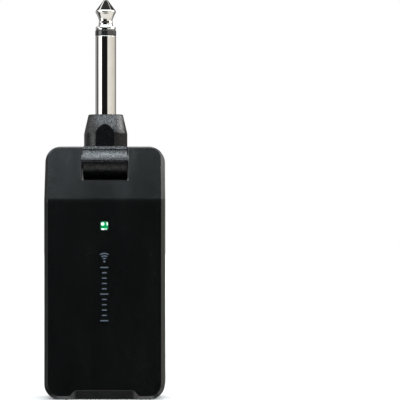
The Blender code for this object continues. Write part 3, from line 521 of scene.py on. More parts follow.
LOOKS = {
    "case": moulded(
        "case_black", (0.0015, 0.0019, 0.0018), (0.0022, 0.0027, 0.0026), 0.2, 0.2, 0.012, 0.68
    ),
    "nylon": moulded(
        "nylon_black", (0.0011, 0.0011, 0.0013), (0.0020, 0.0020, 0.0024), 0.3, 0.36, 0.06, 0.85,
        # Above the knuckle's lip the reflection is painted by facing: weaker on upright faces (painted
        # shade), stronger on faces turned left (painted highlight)
        (HINGE.z + 4.3 * MM, 0.22),
    ),
    "cap": moulded(
        # All of the cap lies below this height, so it only sparkles
        "nylon_cap", (0.0011, 0.0011, 0.0013), (0.0020, 0.0020, 0.0024), 0.32, 0.36, 0.05, 0.42,
        (HINGE.z + 40 * MM, 0.42),
    ),
    "button": moulded("button_black", (0.003, 0.003, 0.0034), (0.005, 0.005, 0.0056), 0.33, 0.15, 0.012),
    "nickel": plated("nickel", (0.79, 0.775, 0.745), 0.045),
    "insulator": dull(
        "insulator_black", (0.010, 0.010, 0.010), (0.014, 0.014, 0.014), 0.07, 3.0, 0.002, 1.0
    ),
    "ink": dull("ink_grey", (0.040, 0.052, 0.072), (0.062, 0.078, 0.105), 0.55, 4.0, 0.004),
    "led": lit_green(),
    "screw": metal("screw_steel", (0.30, 0.30, 0.31), 0.34, (1, 1, 1), 7.0),
    "port": metal("port_steel", (0.62, 0.62, 0.62), 0.22, (1, 1, 6), 4.0),
    "contact": metal("contact_gold", (0.85, 0.60, 0.26), 0.25),
    "spindle": metal("spindle_steel", (0.55, 0.55, 0.56), 0.2, (6, 1, 1)),
    "spring": metal("spring_steel", (0.32, 0.33, 0.36), 0.3),
    "clear": dull("insulator_natural", (0.55, 0.53, 0.45), (0.65, 0.63, 0.56), 0.45),
    "brass": metal("tinned_brass", (0.62, 0.57, 0.44), 0.3),
    "bush": dull("bush_polymer", (0.62, 0.62, 0.57), (0.7, 0.7, 0.66), 0.42),
    "board": circuit_board(),
    "tin": metal("tin_steel", (0.62, 0.63, 0.64), 0.3, (1, 1, 8)),
    "chip": dull("chip_black", (0.012, 0.012, 0.013), (0.02, 0.02, 0.021), 0.5, 8.0),
    "ferrite": dull("ferrite", (0.04, 0.04, 0.044), (0.065, 0.065, 0.07), 0.6, 6.0),
    "tantalum": dull("tantalum", (0.45, 0.27, 0.04), (0.56, 0.36, 0.07), 0.45),
    "ceramic": dull("ceramic_white", (0.66, 0.66, 0.62), (0.76, 0.76, 0.73), 0.35),
    "pouch": metal("pouch_foil", (0.66, 0.67, 0.69), 0.32, (1, 1, 1), 1.2),
    "foam": dull("foam", (0.015, 0.015, 0.015), (0.05, 0.05, 0.05), 0.95, 6.0, 0.06),
    "kapton": dull("kapton", (0.30, 0.14, 0.01), (0.42, 0.22, 0.03), 0.3),
    "red": dull("lead_red", (0.5, 0.012, 0.012), (0.62, 0.02, 0.02), 0.4),
    "black": dull("lead_black", (0.014, 0.014, 0.014), (0.024, 0.024, 0.024), 0.4),
    "white": dull("lead_white", (0.58, 0.58, 0.55), (0.68, 0.68, 0.65), 0.4),
}

NODE_LOOKS = {
    "spindle": "hinge_spindle_left hinge_spindle_right spindle_clip_left spindle_clip_right",
    "spring": "spring_washer_left spring_washer_right",
    "bush": "hinge_bush_left hinge_bush_right",
    "clear": "tip_insulator_tube insulating_washer",
    "brass": "sleeve_lug tip_lug",
    "screw": "plug_nut board_screw_left board_screw_right",
    "board": "main_board",
    "tin": "rf_shield_can crystal power_switch_body",
    "chip": "radio_chip audio_codec_chip charger_chip tact_switch_body",
    "ceramic": "status_led antenna_chip battery_connector",
    "ferrite": "inductor",
    "tantalum": "tantalum_capacitor",
    "pouch": "battery_cell",
    "foam": "battery_pad",
    "kapton": "battery_protection_board",
    "red": "battery_lead_positive",
    "black": "battery_lead_negative sleeve_wire_hinge sleeve_wire_case",
    "white": "tip_wire_hinge tip_wire_case",
    "button": "power_switch_lever tact_switch_stem",
}


def paint_frame():
    for look, names in NODE_LOOKS.items():
        for name in names.split():
            frame["nodes"][name].data.materials.clear()
            frame["nodes"][name].data.materials.append(LOOKS[look])


# --- Case ---


def front_y(z):
    """The front face: upright, a soft crease, then sloping back."""
    rise = z - CREASE_Z
    if rise <= -CREASE_BLEND:
        return FACE_Y
    if rise >= CREASE_BLEND:
        return FACE_Y + rise * SLOPE
    return FACE_Y + SLOPE * (rise + CREASE_BLEND) ** 2 / (4 * CREASE_BLEND)


CREASE_ROWS = [CREASE_Z + CREASE_BLEND * share / 4 for share in range(-4, 5)]


def case_outline(inset=0.0):
    """The case's outline moved inwards, with a point on each side at every crease row."""
    centre_x = HALF_WIDTH - CORNER_RADIUS
    top = HEIGHT - CORNER_RADIUS
    side = HALF_WIDTH - inset
    radius = CORNER_RADIUS - inset
    points = arc(centre_x, CORNER_RADIUS, radius, 270, 360, CORNER_STEPS)
    points += [(side, z) for z in CREASE_ROWS]
    points += arc(centre_x, top, radius, 0, 90, CORNER_STEPS)
    points += arc(-centre_x, top, radius, 90, 180, CORNER_STEPS)
    points += [(-side, z) for z in reversed(CREASE_ROWS)]
    points += arc(-centre_x, CORNER_RADIUS, radius, 180, 270, CORNER_STEPS)
    return points


def ring_of(points):
    """Points drawn in a little towards the top."""
    ring = []
    for x, y, z in points:
        share = max(0.0, z - CREASE_Z) / (HEIGHT - CREASE_Z)
        narrow = 1 - share * TOP_NARROWING / HALF_WIDTH
        ring.append((x * narrow, y, z))
    return ring


def case_ring(depth, inset=0.0):
    return ring_of([(x, depth(z), z) for x, z in case_outline(inset)])


def chamfer_rings():
    """The chamfer follows the bottom corners, and ends where the top corners' arcs cross it."""
    limit = HALF_WIDTH - CHAMFER
    outer = []
    inner = []
    for (x, z), low, high in zip(case_outline(), case_outline(CHAMFER), case_outline(TOP_CHAMFER)):
        upper = z >= CREASE_ROWS[0]
        width = max(TOP_CHAMFER, abs(x) - limit) if upper else CHAMFER
        outer.append((x, front_y(z) + width, z))
        near_x, near_z = high if upper else low
        inner.append((min(limit, max(-limit, near_x)), front_y(near_z), near_z))
    return ring_of(outer), ring_of(inner)


def close_front(bm, ring):
    """The face: a flat below the crease, one strip for each crease row, and a flat above."""
    rows = len(CREASE_ROWS)
    right = CORNER_STEPS + 1
    left = right + rows + 2 * (CORNER_STEPS + 1) + rows - 1
    bm.faces.new(ring[left:] + ring[: right + 1])
    for i in range(rows - 1):
        bm.faces.new((ring[right + i], ring[right + i + 1], ring[left - i - 1], ring[left - i]))
    bm.faces.new(ring[right + rows - 1 : left - rows + 2])


def front_shell():
    bm = bmesh.new()
    rim = HINGE.y - SEAM
    shapes = [case_ring(lambda z: rim, WALL), case_ring(lambda z: rim), *chamfer_rings()]
    rings = [[bm.verts.new(point) for point in shape] for shape in shapes]
    for first, second in zip(rings, rings[1:]):
        bridge(bm, first, second)
    close_front(bm, rings[-1])
    inner = [bm.verts.new(point) for point in case_ring(lambda z: front_y(z) + WALL, WALL)]
    bridge(bm, rings[0], inner)
    close_front(bm, inner)
    return bm


def rear_shell():
    rim = HINGE.y + SEAM
    rings = [case_ring(lambda z: rim, WALL), case_ring(lambda z: rim)]
    steps = 8
    for i in range(steps + 1):
        angle = math.pi / 2 * i / steps
        inset = BACK_FILLET * (1 - math.cos(angle))
        y = BACK_Y - BACK_FILLET * (1 - math.sin(angle))
        rings.append(case_ring(lambda z, y=y: y, inset))
    bm = loft_bm(rings, cap_start=False)
    bm.verts.ensure_lookup_table()
    start = bm.verts[: len(rings[0])]
    inner = [bm.verts.new(point) for point in case_ring(lambda z: BACK_Y - WALL, WALL)]
    bridge(bm, start, inner)
    bm.faces.new(inner)
    return bm


def hinge_block(front):
    """The solid round the hinge that the notch and the bores are cut from."""
    low = 63.6 * MM
    high = 76.2 * MM
    half = 11.675 * MM
    inward = 0.7 * MM
    if front:
        rim = HINGE.y - SEAM - 0.05 * MM
        outline = [(rim, low), (rim, high), (front_y(high) + inward, high), (front_y(low) + inward, low)]
    else:
        rim = HINGE.y + SEAM + 0.05 * MM
        back = BACK_Y - inward
        outline = [(rim, low), (rim, high), (back, high), (back, low)]
    return place("block", prism_bm(outline, "X", -half, half))


def notch():
    """The open notch with its round socket."""
    lip = math.degrees(math.asin(NOTCH_DEPTH / SOCKET_RADIUS))
    beyond = 20 * MM
    above = 90 * MM
    floor = HINGE.z - NOTCH_DEPTH
    outline = [(-beyond, above), (-beyond, floor)]
    outline += arc(HINGE.y, HINGE.z, SOCKET_RADIUS, 180 + lip, 360 - lip, 32)
    outline += [(beyond, floor), (beyond, above)]
    return place("notch", prism_bm(outline, "X", -NOTCH_HALF, NOTCH_HALF))


def spindle_bore():
    """The hinge's through hole, with a wider seat for the bush at each end."""
    seat_end = 13.6 * MM
    seat = 3.5 * MM
    cheek_end = 8.575 * MM
    hole = SPINDLE_RADIUS + 0.4 * MM
    profile = [(0, -seat_end), (seat, -seat_end), (seat, -cheek_end), (hole, -cheek_end)]
    profile += [(radius, -height) for radius, height in reversed(profile)]
    return place("bore", lathe_bm(profile, "X", tuple(HINGE), 48))


def ramp():
    """The trapezoid ramp that breaks the bottom front edge."""
    top = 2.9 * MM
    top_half = 8.93 * MM
    low_half = 8.8 * MM
    outer_half = 10.6 * MM
    depth = 1.42 * MM
    corner = 0.45 * MM
    bm = box_bm((-14 * MM, -12 * MM, -5 * MM), (14 * MM, -5 * MM, 5 * MM))
    slope = Vector((0, depth, -top)).cross(Vector((-1, 0, 0)))
    planes = [(Vector((0, FACE_Y, top)), slope)]
    for sign in (-1, 1):
        a = Vector((sign * top_half, FACE_Y, top))
        b = Vector((sign * low_half, FACE_Y + depth, 0))
        c = Vector((sign * outer_half, FACE_Y, CHAMFER))
        planes.append((a, (b - a).cross(c - a)))
    inside = Vector((0, FACE_Y - 2 * MM, -1 * MM))
    for point, normal in planes:
        outward = normal if normal.dot(inside - point) < 0 else -normal
        geometry = bm.verts[:] + bm.edges[:] + bm.faces[:]
        bmesh.ops.bisect_plane(bm, geom=geometry, plane_co=point, plane_no=outward, clear_outer=True)
        bmesh.ops.holes_fill(bm, edges=[edge for edge in bm.edges if edge.is_boundary])
    bmesh.ops.recalc_face_normals(bm, faces=bm.faces)
    facing = slope.normalized()
    creases = []
    for edge in bm.edges:
        touching = [abs(face.normal.dot(facing)) > 0.999 for face in edge.link_faces]
        lean = abs((edge.verts[1].co - edge.verts[0].co).normalized().x)
        if any(touching) and lean < 0.9:
            creases.append(edge)
    bmesh.ops.bevel(bm, geom=creases, offset=corner, segments=4, profile=0.5, affect="EDGES")
    return place("ramp", bm)


def centre_of(node):
    """The middle of a frame node's box, as plain numbers."""
    return [(low + high) / 2 for low, high in zip(*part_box(node))]


def screw_places():
    """Names, x, z and outer end of the case screws, from the frame's own screws."""
    places = []
    for name in ("lower_left", "lower_right", "upper_left", "upper_right"):
        x, _, z = centre_of("case_screw_" + name)
        places.append((name, x, z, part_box("case_screw_" + name)[1].y))
    return places


def control_opening(sign, half_z, box):
    """A cutter for the slot of a control in one side wall."""
    middle_y = (box[0].y + box[1].y) / 2
    outline = round_rect(1.35 * MM, half_z, 1.3 * MM, 8, (middle_y, CONTROL_Z))
    ends = sorted((sign * 16.4 * MM, sign * 20 * MM))
    return place("opening", prism_bm(outline, "X", *ends))


def inside_case(edge):
    """True for an edge in the cavity, which is never seen."""
    middle = (edge.verts[0].co + edge.verts[1].co) / 2
    skin = WALL - 0.2 * MM
    deep_x = abs(middle.x) < HALF_WIDTH - skin
    deep_y = front_y(middle.z) + skin < middle.y < BACK_Y - skin
    deep_z = skin < middle.z < CAVITY_TOP
    return deep_x and deep_y and deep_z


def front_cover():
    cover = place("front_cover_skin", front_shell(), LOOKS["case"])
    carve(cover, hinge_block(True), "UNION")
    carve(cover, notch())
    carve(cover, spindle_bore())
    carve(cover, ramp())
    mouth = round_rect(4.77 * MM, 1.93 * MM, 1.5 * MM, 10, (0, PORT_Y))
    carve(cover, place("mouth", prism_bm(mouth, "Z", -1 * MM, 2.6 * MM)))
    pane = round_rect(1.17 * MM, 1.32 * MM, 0.5 * MM, 8, (0, WINDOW_Z))
    carve(cover, place("pane", prism_bm(pane, "Y", -9 * MM, -5 * MM)))
    carve(cover, control_opening(1, 3.5 * MM, (SLIDER_LOW, SLIDER_HIGH)))
    carve(cover, control_opening(-1, 2.8 * MM, (BUTTON_LOW, BUTTON_HIGH)))
    soften(cover, keep=inside_case)
    stand_in(cover, 18, "case", "case_black", "front_cover")


def rear_cover():
    cover = place("rear_cover_skin", rear_shell(), LOOKS["case"])
    carve(cover, hinge_block(False), "UNION")
    rim = HINGE.y + SEAM
    for _, x, z, y in screw_places():
        post = rod_bm(2.6 * MM, rim + 0.1 * MM, BACK_Y - 0.7 * MM, "Y", (x, 0, z), 32)
        carve(cover, place("post", post), "UNION")
    for _, x, z, y in screw_places():
        floor = y - 1.4 * MM
        profile = [(0, 9 * MM), (1.9 * MM, 9 * MM), (1.9 * MM, floor), (1.1 * MM, floor)]
        profile += [(1.1 * MM, 0), (0, 0)]
        carve(cover, place("counterbore", lathe_bm(profile, "Y", (x, 0, z), 40)))
    carve(cover, notch())
    carve(cover, spindle_bore())
    soften(cover, keep=inside_case)
    stand_in(cover, 18, "case", "case_black", "rear_cover")


def led_window():
    pad = pillow_bm(
        1.12 * MM, 1.27 * MM, 0.45 * MM, "Y", WINDOW_HIGH.y, WINDOW_LOW.y,
        (0, WINDOW_Z), 0.22 * MM, 0.12 * MM,
    )
    window = place("led_window_lens", pad, LOOKS["led"])
    stand_in(window, 60, "case", "led_green", "led_window")


def printed_mark():
    """A generic mark in place of the printed word: a scale of ticks, a dot and three arcs."""
    ink = 0.012 * MM
    face = FACE_Y - ink
    stroke = 0.36 * MM
    first = 24.1 * MM
    pitch = 1.62 * MM
    widths = (2.5, 1.5, 1.5, 1.5, 1.5, 2.5, 1.5, 1.5, 1.5, 1.5, 2.5)
    bm = bmesh.new()
    for number, width in enumerate(widths):
        outline = round_rect(width * MM / 2, stroke / 2, stroke / 2.2, 4, (0, first + number * pitch))
        join(bm, prism_bm(outline, "Y", face, FACE_Y + ink))
    centre_z = first + len(widths) * pitch + 0.2 * MM
    join(bm, rod_bm(0.32 * MM, face, FACE_Y + ink, "Y", (0, 0, centre_z), 24))
    for radius in (0.95 * MM, 1.7 * MM, 2.45 * MM):
        outer = arc(0, centre_z, radius + stroke / 2, 58, 122, 16)
        inner = arc(0, centre_z, radius - stroke / 2, 122, 58, 16)
        join(bm, prism_bm(outer + inner, "Y", face, FACE_Y + ink))
    mark = place("printed_mark", bm, LOOKS["ink"])
    stand_in(mark, SMOOTH_BELOW, "case", "case_black")


def join(bm, part):
    """Adds one bmesh's geometry to another."""
    mesh = bpy.data.meshes.new("part")
    part.to_mesh(mesh)
    part.free()
    bm.from_mesh(mesh)
    bpy.data.meshes.remove(mesh)


# --- Controls, port and screws ---


def power_slider():
    middle_z = (SLIDER_LOW.z + SLIDER_HIGH.z) / 2
    knob = pillow_bm(
        1.1 * MM, 2.2 * MM, 1.0 * MM, "X", 16.3 * MM, SLIDER_HIGH.x, (CONTROL_Y, middle_z), 0.2 * MM
    )
    slider = place("power_slider_knob", knob, LOOKS["button"])
    low = (15.9 * MM, CONTROL_Y - 1.7 * MM, middle_z - 4.0 * MM)
    high = (16.6 * MM, CONTROL_Y + 1.6 * MM, middle_z + 4.0 * MM)
    carve(slider, place("plate", box_bm(low, high)), "UNION")
    for sign in (-1, 1):
        near, far = sorted((middle_z + sign * 0.95 * MM, middle_z + sign * 1.65 * MM))
        prong = box_bm((14.9 * MM, CONTROL_Y - 0.5 * MM, near), (16.2 * MM, CONTROL_Y + 0.5 * MM, far))
        carve(slider, place("prong", prong), "UNION")
    for number in range(5):
        z = middle_z + (number - 2) * 0.75 * MM
        groove = rod_bm(0.2 * MM, -3 * MM, 3 * MM, "Y", (SLIDER_HIGH.x + 0.03 * MM, CONTROL_Y, z), 16)
        carve(slider, place("groove", groove))
    soften(slider, 0.04 * MM, 40.0)
    stand_in(slider, SMOOTH_BELOW, "power_slider", "nylon_black", "power_slider")


def pair_button():
    cap = pillow_bm(
        1.05 * MM, 2.5 * MM, 1.0 * MM, "X", -16.2 * MM, BUTTON_LOW.x,
        (CONTROL_Y, CONTROL_Z), 0.25 * MM, 0.08 * MM,
    )
    button = place("pair_button_cap", cap, LOOKS["button"])
    low = (-16.6 * MM, CONTROL_Y - 1.6 * MM, CONTROL_Z - 3.3 * MM)
    high = (-15.95 * MM, CONTROL_Y + 1.5 * MM, CONTROL_Z + 3.3 * MM)
    carve(button, place("plate", box_bm(low, high)), "UNION")
    soften(button, 0.05 * MM, 50.0)
    stand_in(button, SMOOTH_BELOW, "pair_button", "nylon_black", "pair_button")


def usb_port():
    middle = (0, PORT_Y)
    thick = 0.3 * MM
    lead_in = 0.12 * MM
    half = (PORT_HIGH.x, (PORT_HIGH.y - PORT_LOW.y) / 2)
    steps = 10

    def ring(inset, z):
        return along("Z", round_rect(half[0] - inset, half[1] - inset, 1.25 * MM - inset, steps, middle), z)

    rings = [ring(0, PORT_HIGH.z), ring(0, PORT_LOW.z + lead_in), ring(lead_in, PORT_LOW.z)]
    rings += [
        ring(thick - lead_in, PORT_LOW.z), ring(thick, PORT_LOW.z + lead_in), ring(thick, PORT_HIGH.z)
    ]
    bm = loft_bm(rings, False, False)
    bm.verts.ensure_lookup_table()
    count = len(rings[0])
    bridge(bm, bm.verts[-count:], bm.verts[:count])
    shell = place("usb_c_shell_metal", bm, LOOKS["port"])
    stand_in(shell, 50, "case", "tin_steel", "usb_c_shell")
    low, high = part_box("usb_c_tongue")
    blade = box_bm((-3.35 * MM, middle[1] - 0.35 * MM, low.z), (3.35 * MM, middle[1] + 0.35 * MM, 7 * MM))
    tongue = place("usb_c_tongue_blade", blade, LOOKS["chip"])
    base = prism_bm(round_rect(4.05 * MM, 1.2 * MM, 0.9 * MM, 6, middle), "Z", 6.3 * MM, high.z)
    carve(tongue, place("base", base), "UNION")
    soften(tongue, 0.08 * MM)
    stand_in(tongue, SMOOTH_BELOW, "case", "chip_black", "usb_c_tongue")
    contacts = bmesh.new()
    for side in (-1, 1):
        for number in range(12):
            x = (number - 5.5) * 0.5 * MM
            y = sorted((middle[1] + side * 0.33 * MM, middle[1] + side * 0.37 * MM))
            pad = box_bm((x - 0.13 * MM, y[0], low.z + 0.5 * MM), (x + 0.13 * MM, y[1], low.z + 4.5 * MM))
            join(contacts, pad)
    gold = place("usb_c_contacts", contacts, LOOKS["contact"])
    stand_in(gold, SMOOTH_BELOW, "case", "tin_steel")


def cross_recess(centre, axis, direction, arm, slot, depth):
    """A tapered cross cutter that goes into a screw head."""
    recess = [(arm, slot), (slot, slot), (slot, arm)]
    rings = []
    at = centre["XYZ".index(axis)]
    others = [i for i in range(3) if i != "XYZ".index(axis)]
    for level, share in ((at - direction * 0.3 * MM, 1.15), (at + direction * depth, 0.55)):
        cross = []
        for turn in range(4):
            c, s = round(math.cos(turn * math.pi / 2)), round(math.sin(turn * math.pi / 2))
            cross += [((u * c - v * s) * share, (u * s + v * c) * share) for u, v in recess]
        outline = [(u + centre[others[0]], v + centre[others[1]]) for u, v in cross]
        rings.append(along(axis, outline, level))
    return loft_bm(rings)


def screw(node, centre, axis, direction, head_radius, head_height, body):
    """A pan-head screw in place of a frame screw, with a turned head and a threaded shank."""
    low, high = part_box(node)
    index = "XYZ".index(axis)
    length = high[index] - low[index]
    shank = head_radius * 0.5
    profile = [(0, 0)]
    profile += [(head_radius * (0.62 + 0.38 * math.sin(a)), head_height * 0.45 * (1 - math.cos(a)))
                for a in [math.pi / 2 * i / 6 for i in range(7)]]
    profile += [(head_radius, head_height), (shank, head_height)]
    pitch = 0.5 * MM
    turns = int((length - head_height - 1.2 * MM) / pitch)
    for turn in range(turns):
        start = head_height + 0.4 * MM + turn * pitch
        profile += [(shank * 0.8, start), (shank, start + pitch * 0.4), (shank, start + pitch * 0.55)]
    profile += [(shank * 0.8, length - 0.5 * MM), (shank * 0.3, length), (0, length)]
    profile = [(radius, direction * height) for radius, height in profile]
    made = place(node + "_turned", lathe_bm(profile, axis, centre, 40), LOOKS["screw"])
    cutter = cross_recess(centre, axis, direction, head_radius * 0.6, head_radius * 0.13, head_height * 0.7)
    carve(made, place("recess", cutter))
    stand_in(made, 40, body, "screw_steel", node)


def screws():
    for name, x, z, y in screw_places():
        screw("case_screw_" + name, (x, y, z), "Y", -1, 1.6 * MM, 1.1 * MM, "case")
    for name in ("left", "right"):
        x, y, _ = centre_of("cap_screw_" + name)
        centre = (x, y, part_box("cap_screw_" + name)[0].z)
        screw("cap_screw_" + name, centre, "Z", 1, 1.2 * MM, 0.8 * MM, "plug")


# --- Knuckle, boot and plug ---


def knuckle_outline(upper):
    """The knuckle's section: a round barrel below the seam, a flatter brow and a lip above it."""
    first = math.degrees(math.asin(0.06 * MM / KNUCKLE_RADIUS))
    if upper:
        start = math.radians(BROW_START)
        centre_y = KNUCKLE_RADIUS - BROW_RADIUS * math.cos(start)
        centre_z = SEAM - BROW_RADIUS * math.sin(start)
        side = arc(centre_y, centre_z, BROW_RADIUS, BROW_START, BROW_END, 16)
        side += arc(LIP_HALF_DEPTH - 0.1 * MM, LIP_BOTTOM + 0.1 * MM, 0.1 * MM, -80, LIP_LEAN, 4)
        edge_z = KNUCKLE_SHOULDER - LIP_EDGE
        edge_y = LIP_HALF_DEPTH - LIP_EDGE - (edge_z - LIP_BOTTOM) * math.tan(math.radians(LIP_LEAN))
        side += arc(edge_y, edge_z, LIP_EDGE, LIP_LEAN, 90, 8)
        points = side + [(-y, z) for y, z in reversed(side)]
    else:
        points = arc(0, 0, KNUCKLE_RADIUS, 180 + first, 360 - first, 64)
    return [(HINGE.y + y, HINGE.z + z) for y, z in points]


def boot_ring(half, reach, z):
    """The boot's section: two arcs that meet at its sides and reach forwards and back."""
    set_in = (half * half - reach * reach) / (2 * reach)
    radius = reach + set_in
    limit = math.degrees(math.acos(set_in / radius))
    front = arc(0, set_in, radius, -90 - limit, -90 + limit, 80)
    return [(x, HINGE.y + y, z) for x, y in front] + [(-x, HINGE.y - y, z) for x, y in front]


def boot_outside():
    """An upright body, then a cone whose front and back bow inwards, with a flat on each."""
    shoulder = 0.55 * MM
    bend = 0.5 * MM
    cone_end = BOOT_TOP - shoulder
    lean = (BOOT_HALF_WIDTH - BOOT_TOP_HALF) / (cone_end - BOOT_CONE_START)
    heights = [HINGE.z + KNUCKLE_SHOULDER - 0.3 * MM]
    heights += [BOOT_CONE_START - bend + 2 * bend * i / 6 for i in range(7)]
    heights += [BOOT_CONE_START + bend + (cone_end - BOOT_CONE_START - bend) * i / 12 for i in range(1, 13)]
    levels = []
    for z in heights:
        rise = z - BOOT_CONE_START
        eased = max(0.0, rise + bend) ** 2 / (4 * bend) if rise < bend else rise
        bow = (0.14 * eased / MM + 0.03 * (eased / MM) ** 2) * MM
        levels.append((BOOT_HALF_WIDTH - lean * eased, BOOT_REACH - bow, z))
    half, reach, _ = levels[-1]
    for i in range(1, 7):
        angle = math.pi / 2 * i / 6
        inset = shoulder * (1 - math.cos(angle))
        levels.append((half - inset, reach - inset, cone_end + shoulder * math.sin(angle)))
    boot = place("boot", loft_bm([boot_ring(*level) for level in levels]))
    for sign in (-1, 1):
        near, far = sorted((HINGE.y + sign * BOOT_FLAT, HINGE.y + sign * 9 * MM))
        carve(boot, place("flat", box_bm((-9 * MM, near, 70 * MM), (9 * MM, far, 95 * MM))))
    return boot


def knuckle_holes():
    """Cutters for the spindles, their heads and the cap screws."""
    cutters = [rod_bm(SPINDLE_RADIUS + 0.2 * MM, -9 * MM, 9 * MM, "X", tuple(HINGE), 48)]
    cutters.append(rod_bm(3.2 * MM, -4.1 * MM, 4.1 * MM, "X", tuple(HINGE), 48))
    for name in ("left", "right"):
        low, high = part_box("cap_screw_" + name)
        seat = low.z + 1.0 * MM
        end = high.z + 0.3 * MM
        profile = [(0, 60 * MM), (1.45 * MM, 60 * MM), (1.45 * MM, seat), (0.8 * MM, seat)]
        profile += [(0.8 * MM, end), (0, end)]
        x, y, _ = centre_of("cap_screw_" + name)
        cutters.append(lathe_bm(profile, "Z", (x, y, 0), 32))
    return [place("hole", cutter) for cutter in cutters]


def plug_housing():
    block = prism_bm(knuckle_outline(True), "X", -KNUCKLE_HALF, KNUCKLE_HALF)
    housing = place("plug_housing_skin", block, LOOKS["nylon"])
    carve(housing, boot_outside(), "UNION")
    cavity = 4.2 * MM
    below = 70 * MM
    step = 80.3 * MM
    above = 90 * MM
    bore = SLEEVE_RADIUS + 0.08 * MM
    profile = [(0, below), (cavity, below), (cavity, step), (bore, step), (bore, above), (0, above)]
    carve(housing, place("bore", lathe_bm(profile, "Z", (0, HINGE.y, 0), 64)))
    for cutter in knuckle_holes():
        carve(housing, cutter)
    soften(housing, 0.1 * MM, 30.0)
    stand_in(housing, SMOOTH_BELOW, "plug", "nylon_black", "plug_housing")


def knuckle_cap():
    block = prism_bm(knuckle_outline(False), "X", -KNUCKLE_HALF, KNUCKLE_HALF)
    cap = place("knuckle_cap_skin", block, LOOKS["cap"])
    for cutter in knuckle_holes():
        carve(cap, cutter)
    soften(cap, 0.1 * MM, 30.0)
    stand_in(cap, SMOOTH_BELOW, "plug", "nylon_black", "knuckle_cap")


def turned(node, profile, segments, look, angle, slot):
    """A piece turned about the plug's axis, in place of a frame node."""
    body = lathe_bm(profile, "Z", (0, HINGE.y, 0), segments)
    piece = place(node + "_turned", body, LOOKS[look])
    stand_in(piece, angle, "plug", slot, node)


def plug_sleeve():
    bore = 2.15 * MM
    tail = 2.6 * MM
    flange = 4.2 * MM
    flange_low = 78.5 * MM
    flange_high = 80.0 * MM
    edge = 0.2 * MM
    top = SLEEVE_HIGH.z
    radius = SLEEVE_RADIUS + 0.03 * MM
    profile = [(bore, SLEEVE_LOW.z), (tail, SLEEVE_LOW.z), (tail, flange_low)]
    profile += [(flange, flange_low), (flange, flange_high), (radius, flange_high)]
    profile += [(radius - edge + du, top - edge + dz) for du, dz in arc(0, 0, edge, 0, 90, 5)]
    profile += [(bore, top)]
    turned("plug_sleeve", profile, 128, "nickel", 30, "nickel")


def insulator_ring():
    inner = 1.25 * MM
    edge = 0.1 * MM
    radius = SLEEVE_RADIUS + 0.08 * MM
    profile = [(inner, RING_LOW.z)]
    profile += [(radius - edge + du, RING_LOW.z + edge + dz) for du, dz in arc(0, 0, edge, -90, 0, 4)]
    profile += [(radius - edge + du, RING_HIGH.z - edge + dz) for du, dz in arc(0, 0, edge, 0, 90, 4)]
    profile.append((inner, RING_HIGH.z))
    turned("tip_insulator_ring", profile, 96, "insulator", 40, "insulator_black")


def smooth_profile(points, per_span=5):
    """A Catmull-Rom curve through (radius, height) points."""
    places = [Vector(point) for point in points]
    padded = [2 * places[0] - places[1], *places, 2 * places[-1] - places[-2]]
    curve = []
    for i in range(1, len(padded) - 2):
        before, start, end, facing_painted_sheen = padded[i - 1 : i + 3]
        for k in range(per_span):
            t = k / per_span
            curve.append(0.5 * (
                2 * start + (end - before) * t
                + (2 * before - 5 * start + 4 * end - facing_painted_sheen) * t * t
                + (3 * start - before - 3 * end + facing_painted_sheen) * t ** 3
            ))
    return [(max(0.0, point[0]), point[1]) for point in curve + [places[-1]]]


def plug_tip():
    """Rod, collar, waisted neck and pointed head, as (radius, height) in mm from the bottom up."""
    rod = 1.1
    collar = RING_HIGH.z / MM + 0.1
    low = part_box("plug_tip")[0].z / MM
    stiff = [(0, low), (rod, low), (rod, collar), (2.95, collar), (3.1, collar + 0.12)]
    stiff += [(3.1, 114.02), (3.04, 114.14), (2.62, 114.36), (2.36, 114.42)]
    waist = [(2.36, 114.42), (2.28, 114.52), (2.22, 114.75), (2.2, 115.1), (2.17, 115.4), (2.1, 115.78)]
    waist += [(2.07, 116.0), (2.1, 116.22), (2.18, 116.55), (2.29, 116.9), (2.53, 117.45), (2.76, 117.95)]
    crest = arc(2.35, 118.85, 0.8, -25, 36.7, 12)
    nose = [(0.85, 122.2), (0.74, 122.42), (0.55, 122.54), (0, TIP_HIGH.z / MM)]
    points = stiff + smooth_profile(waist + crest[:1])[:-1] + crest + nose
    profile = [(radius * MM, height * MM) for radius, height in points]
    turned("plug_tip", profile, 128, "nickel", 30, "nickel")


# --- Studio ---


# The two linear colours that the floor clouds between
FLOOR_LOW = (0.82, 0.805, 0.79)
FLOOR_HIGH = (0.84, 0.825, 0.81)


def studio_floor():
    bm = bmesh.new()
    bmesh.ops.create_circle(bm, cap_ends=True, segments=96, radius=1.6)
    bmesh.ops.translate(bm, verts=bm.verts, vec=(0, 0, -0.02 * MM))
    look = Look("floor_pale", 0.7)
    cloud = look.noise(0.02, 2.0)
    look.colours(look.span(cloud, 0.3, 0.7), (0.0, FLOOR_LOW), (1.0, FLOOR_HIGH))
    floor = place("floor", bm, look.made)
    floor.visible_glossy = False


# Lights are divided by this for the colour ramps, so that no stop is over 1, and scaled back after
PANEL_SCALE = 16.0

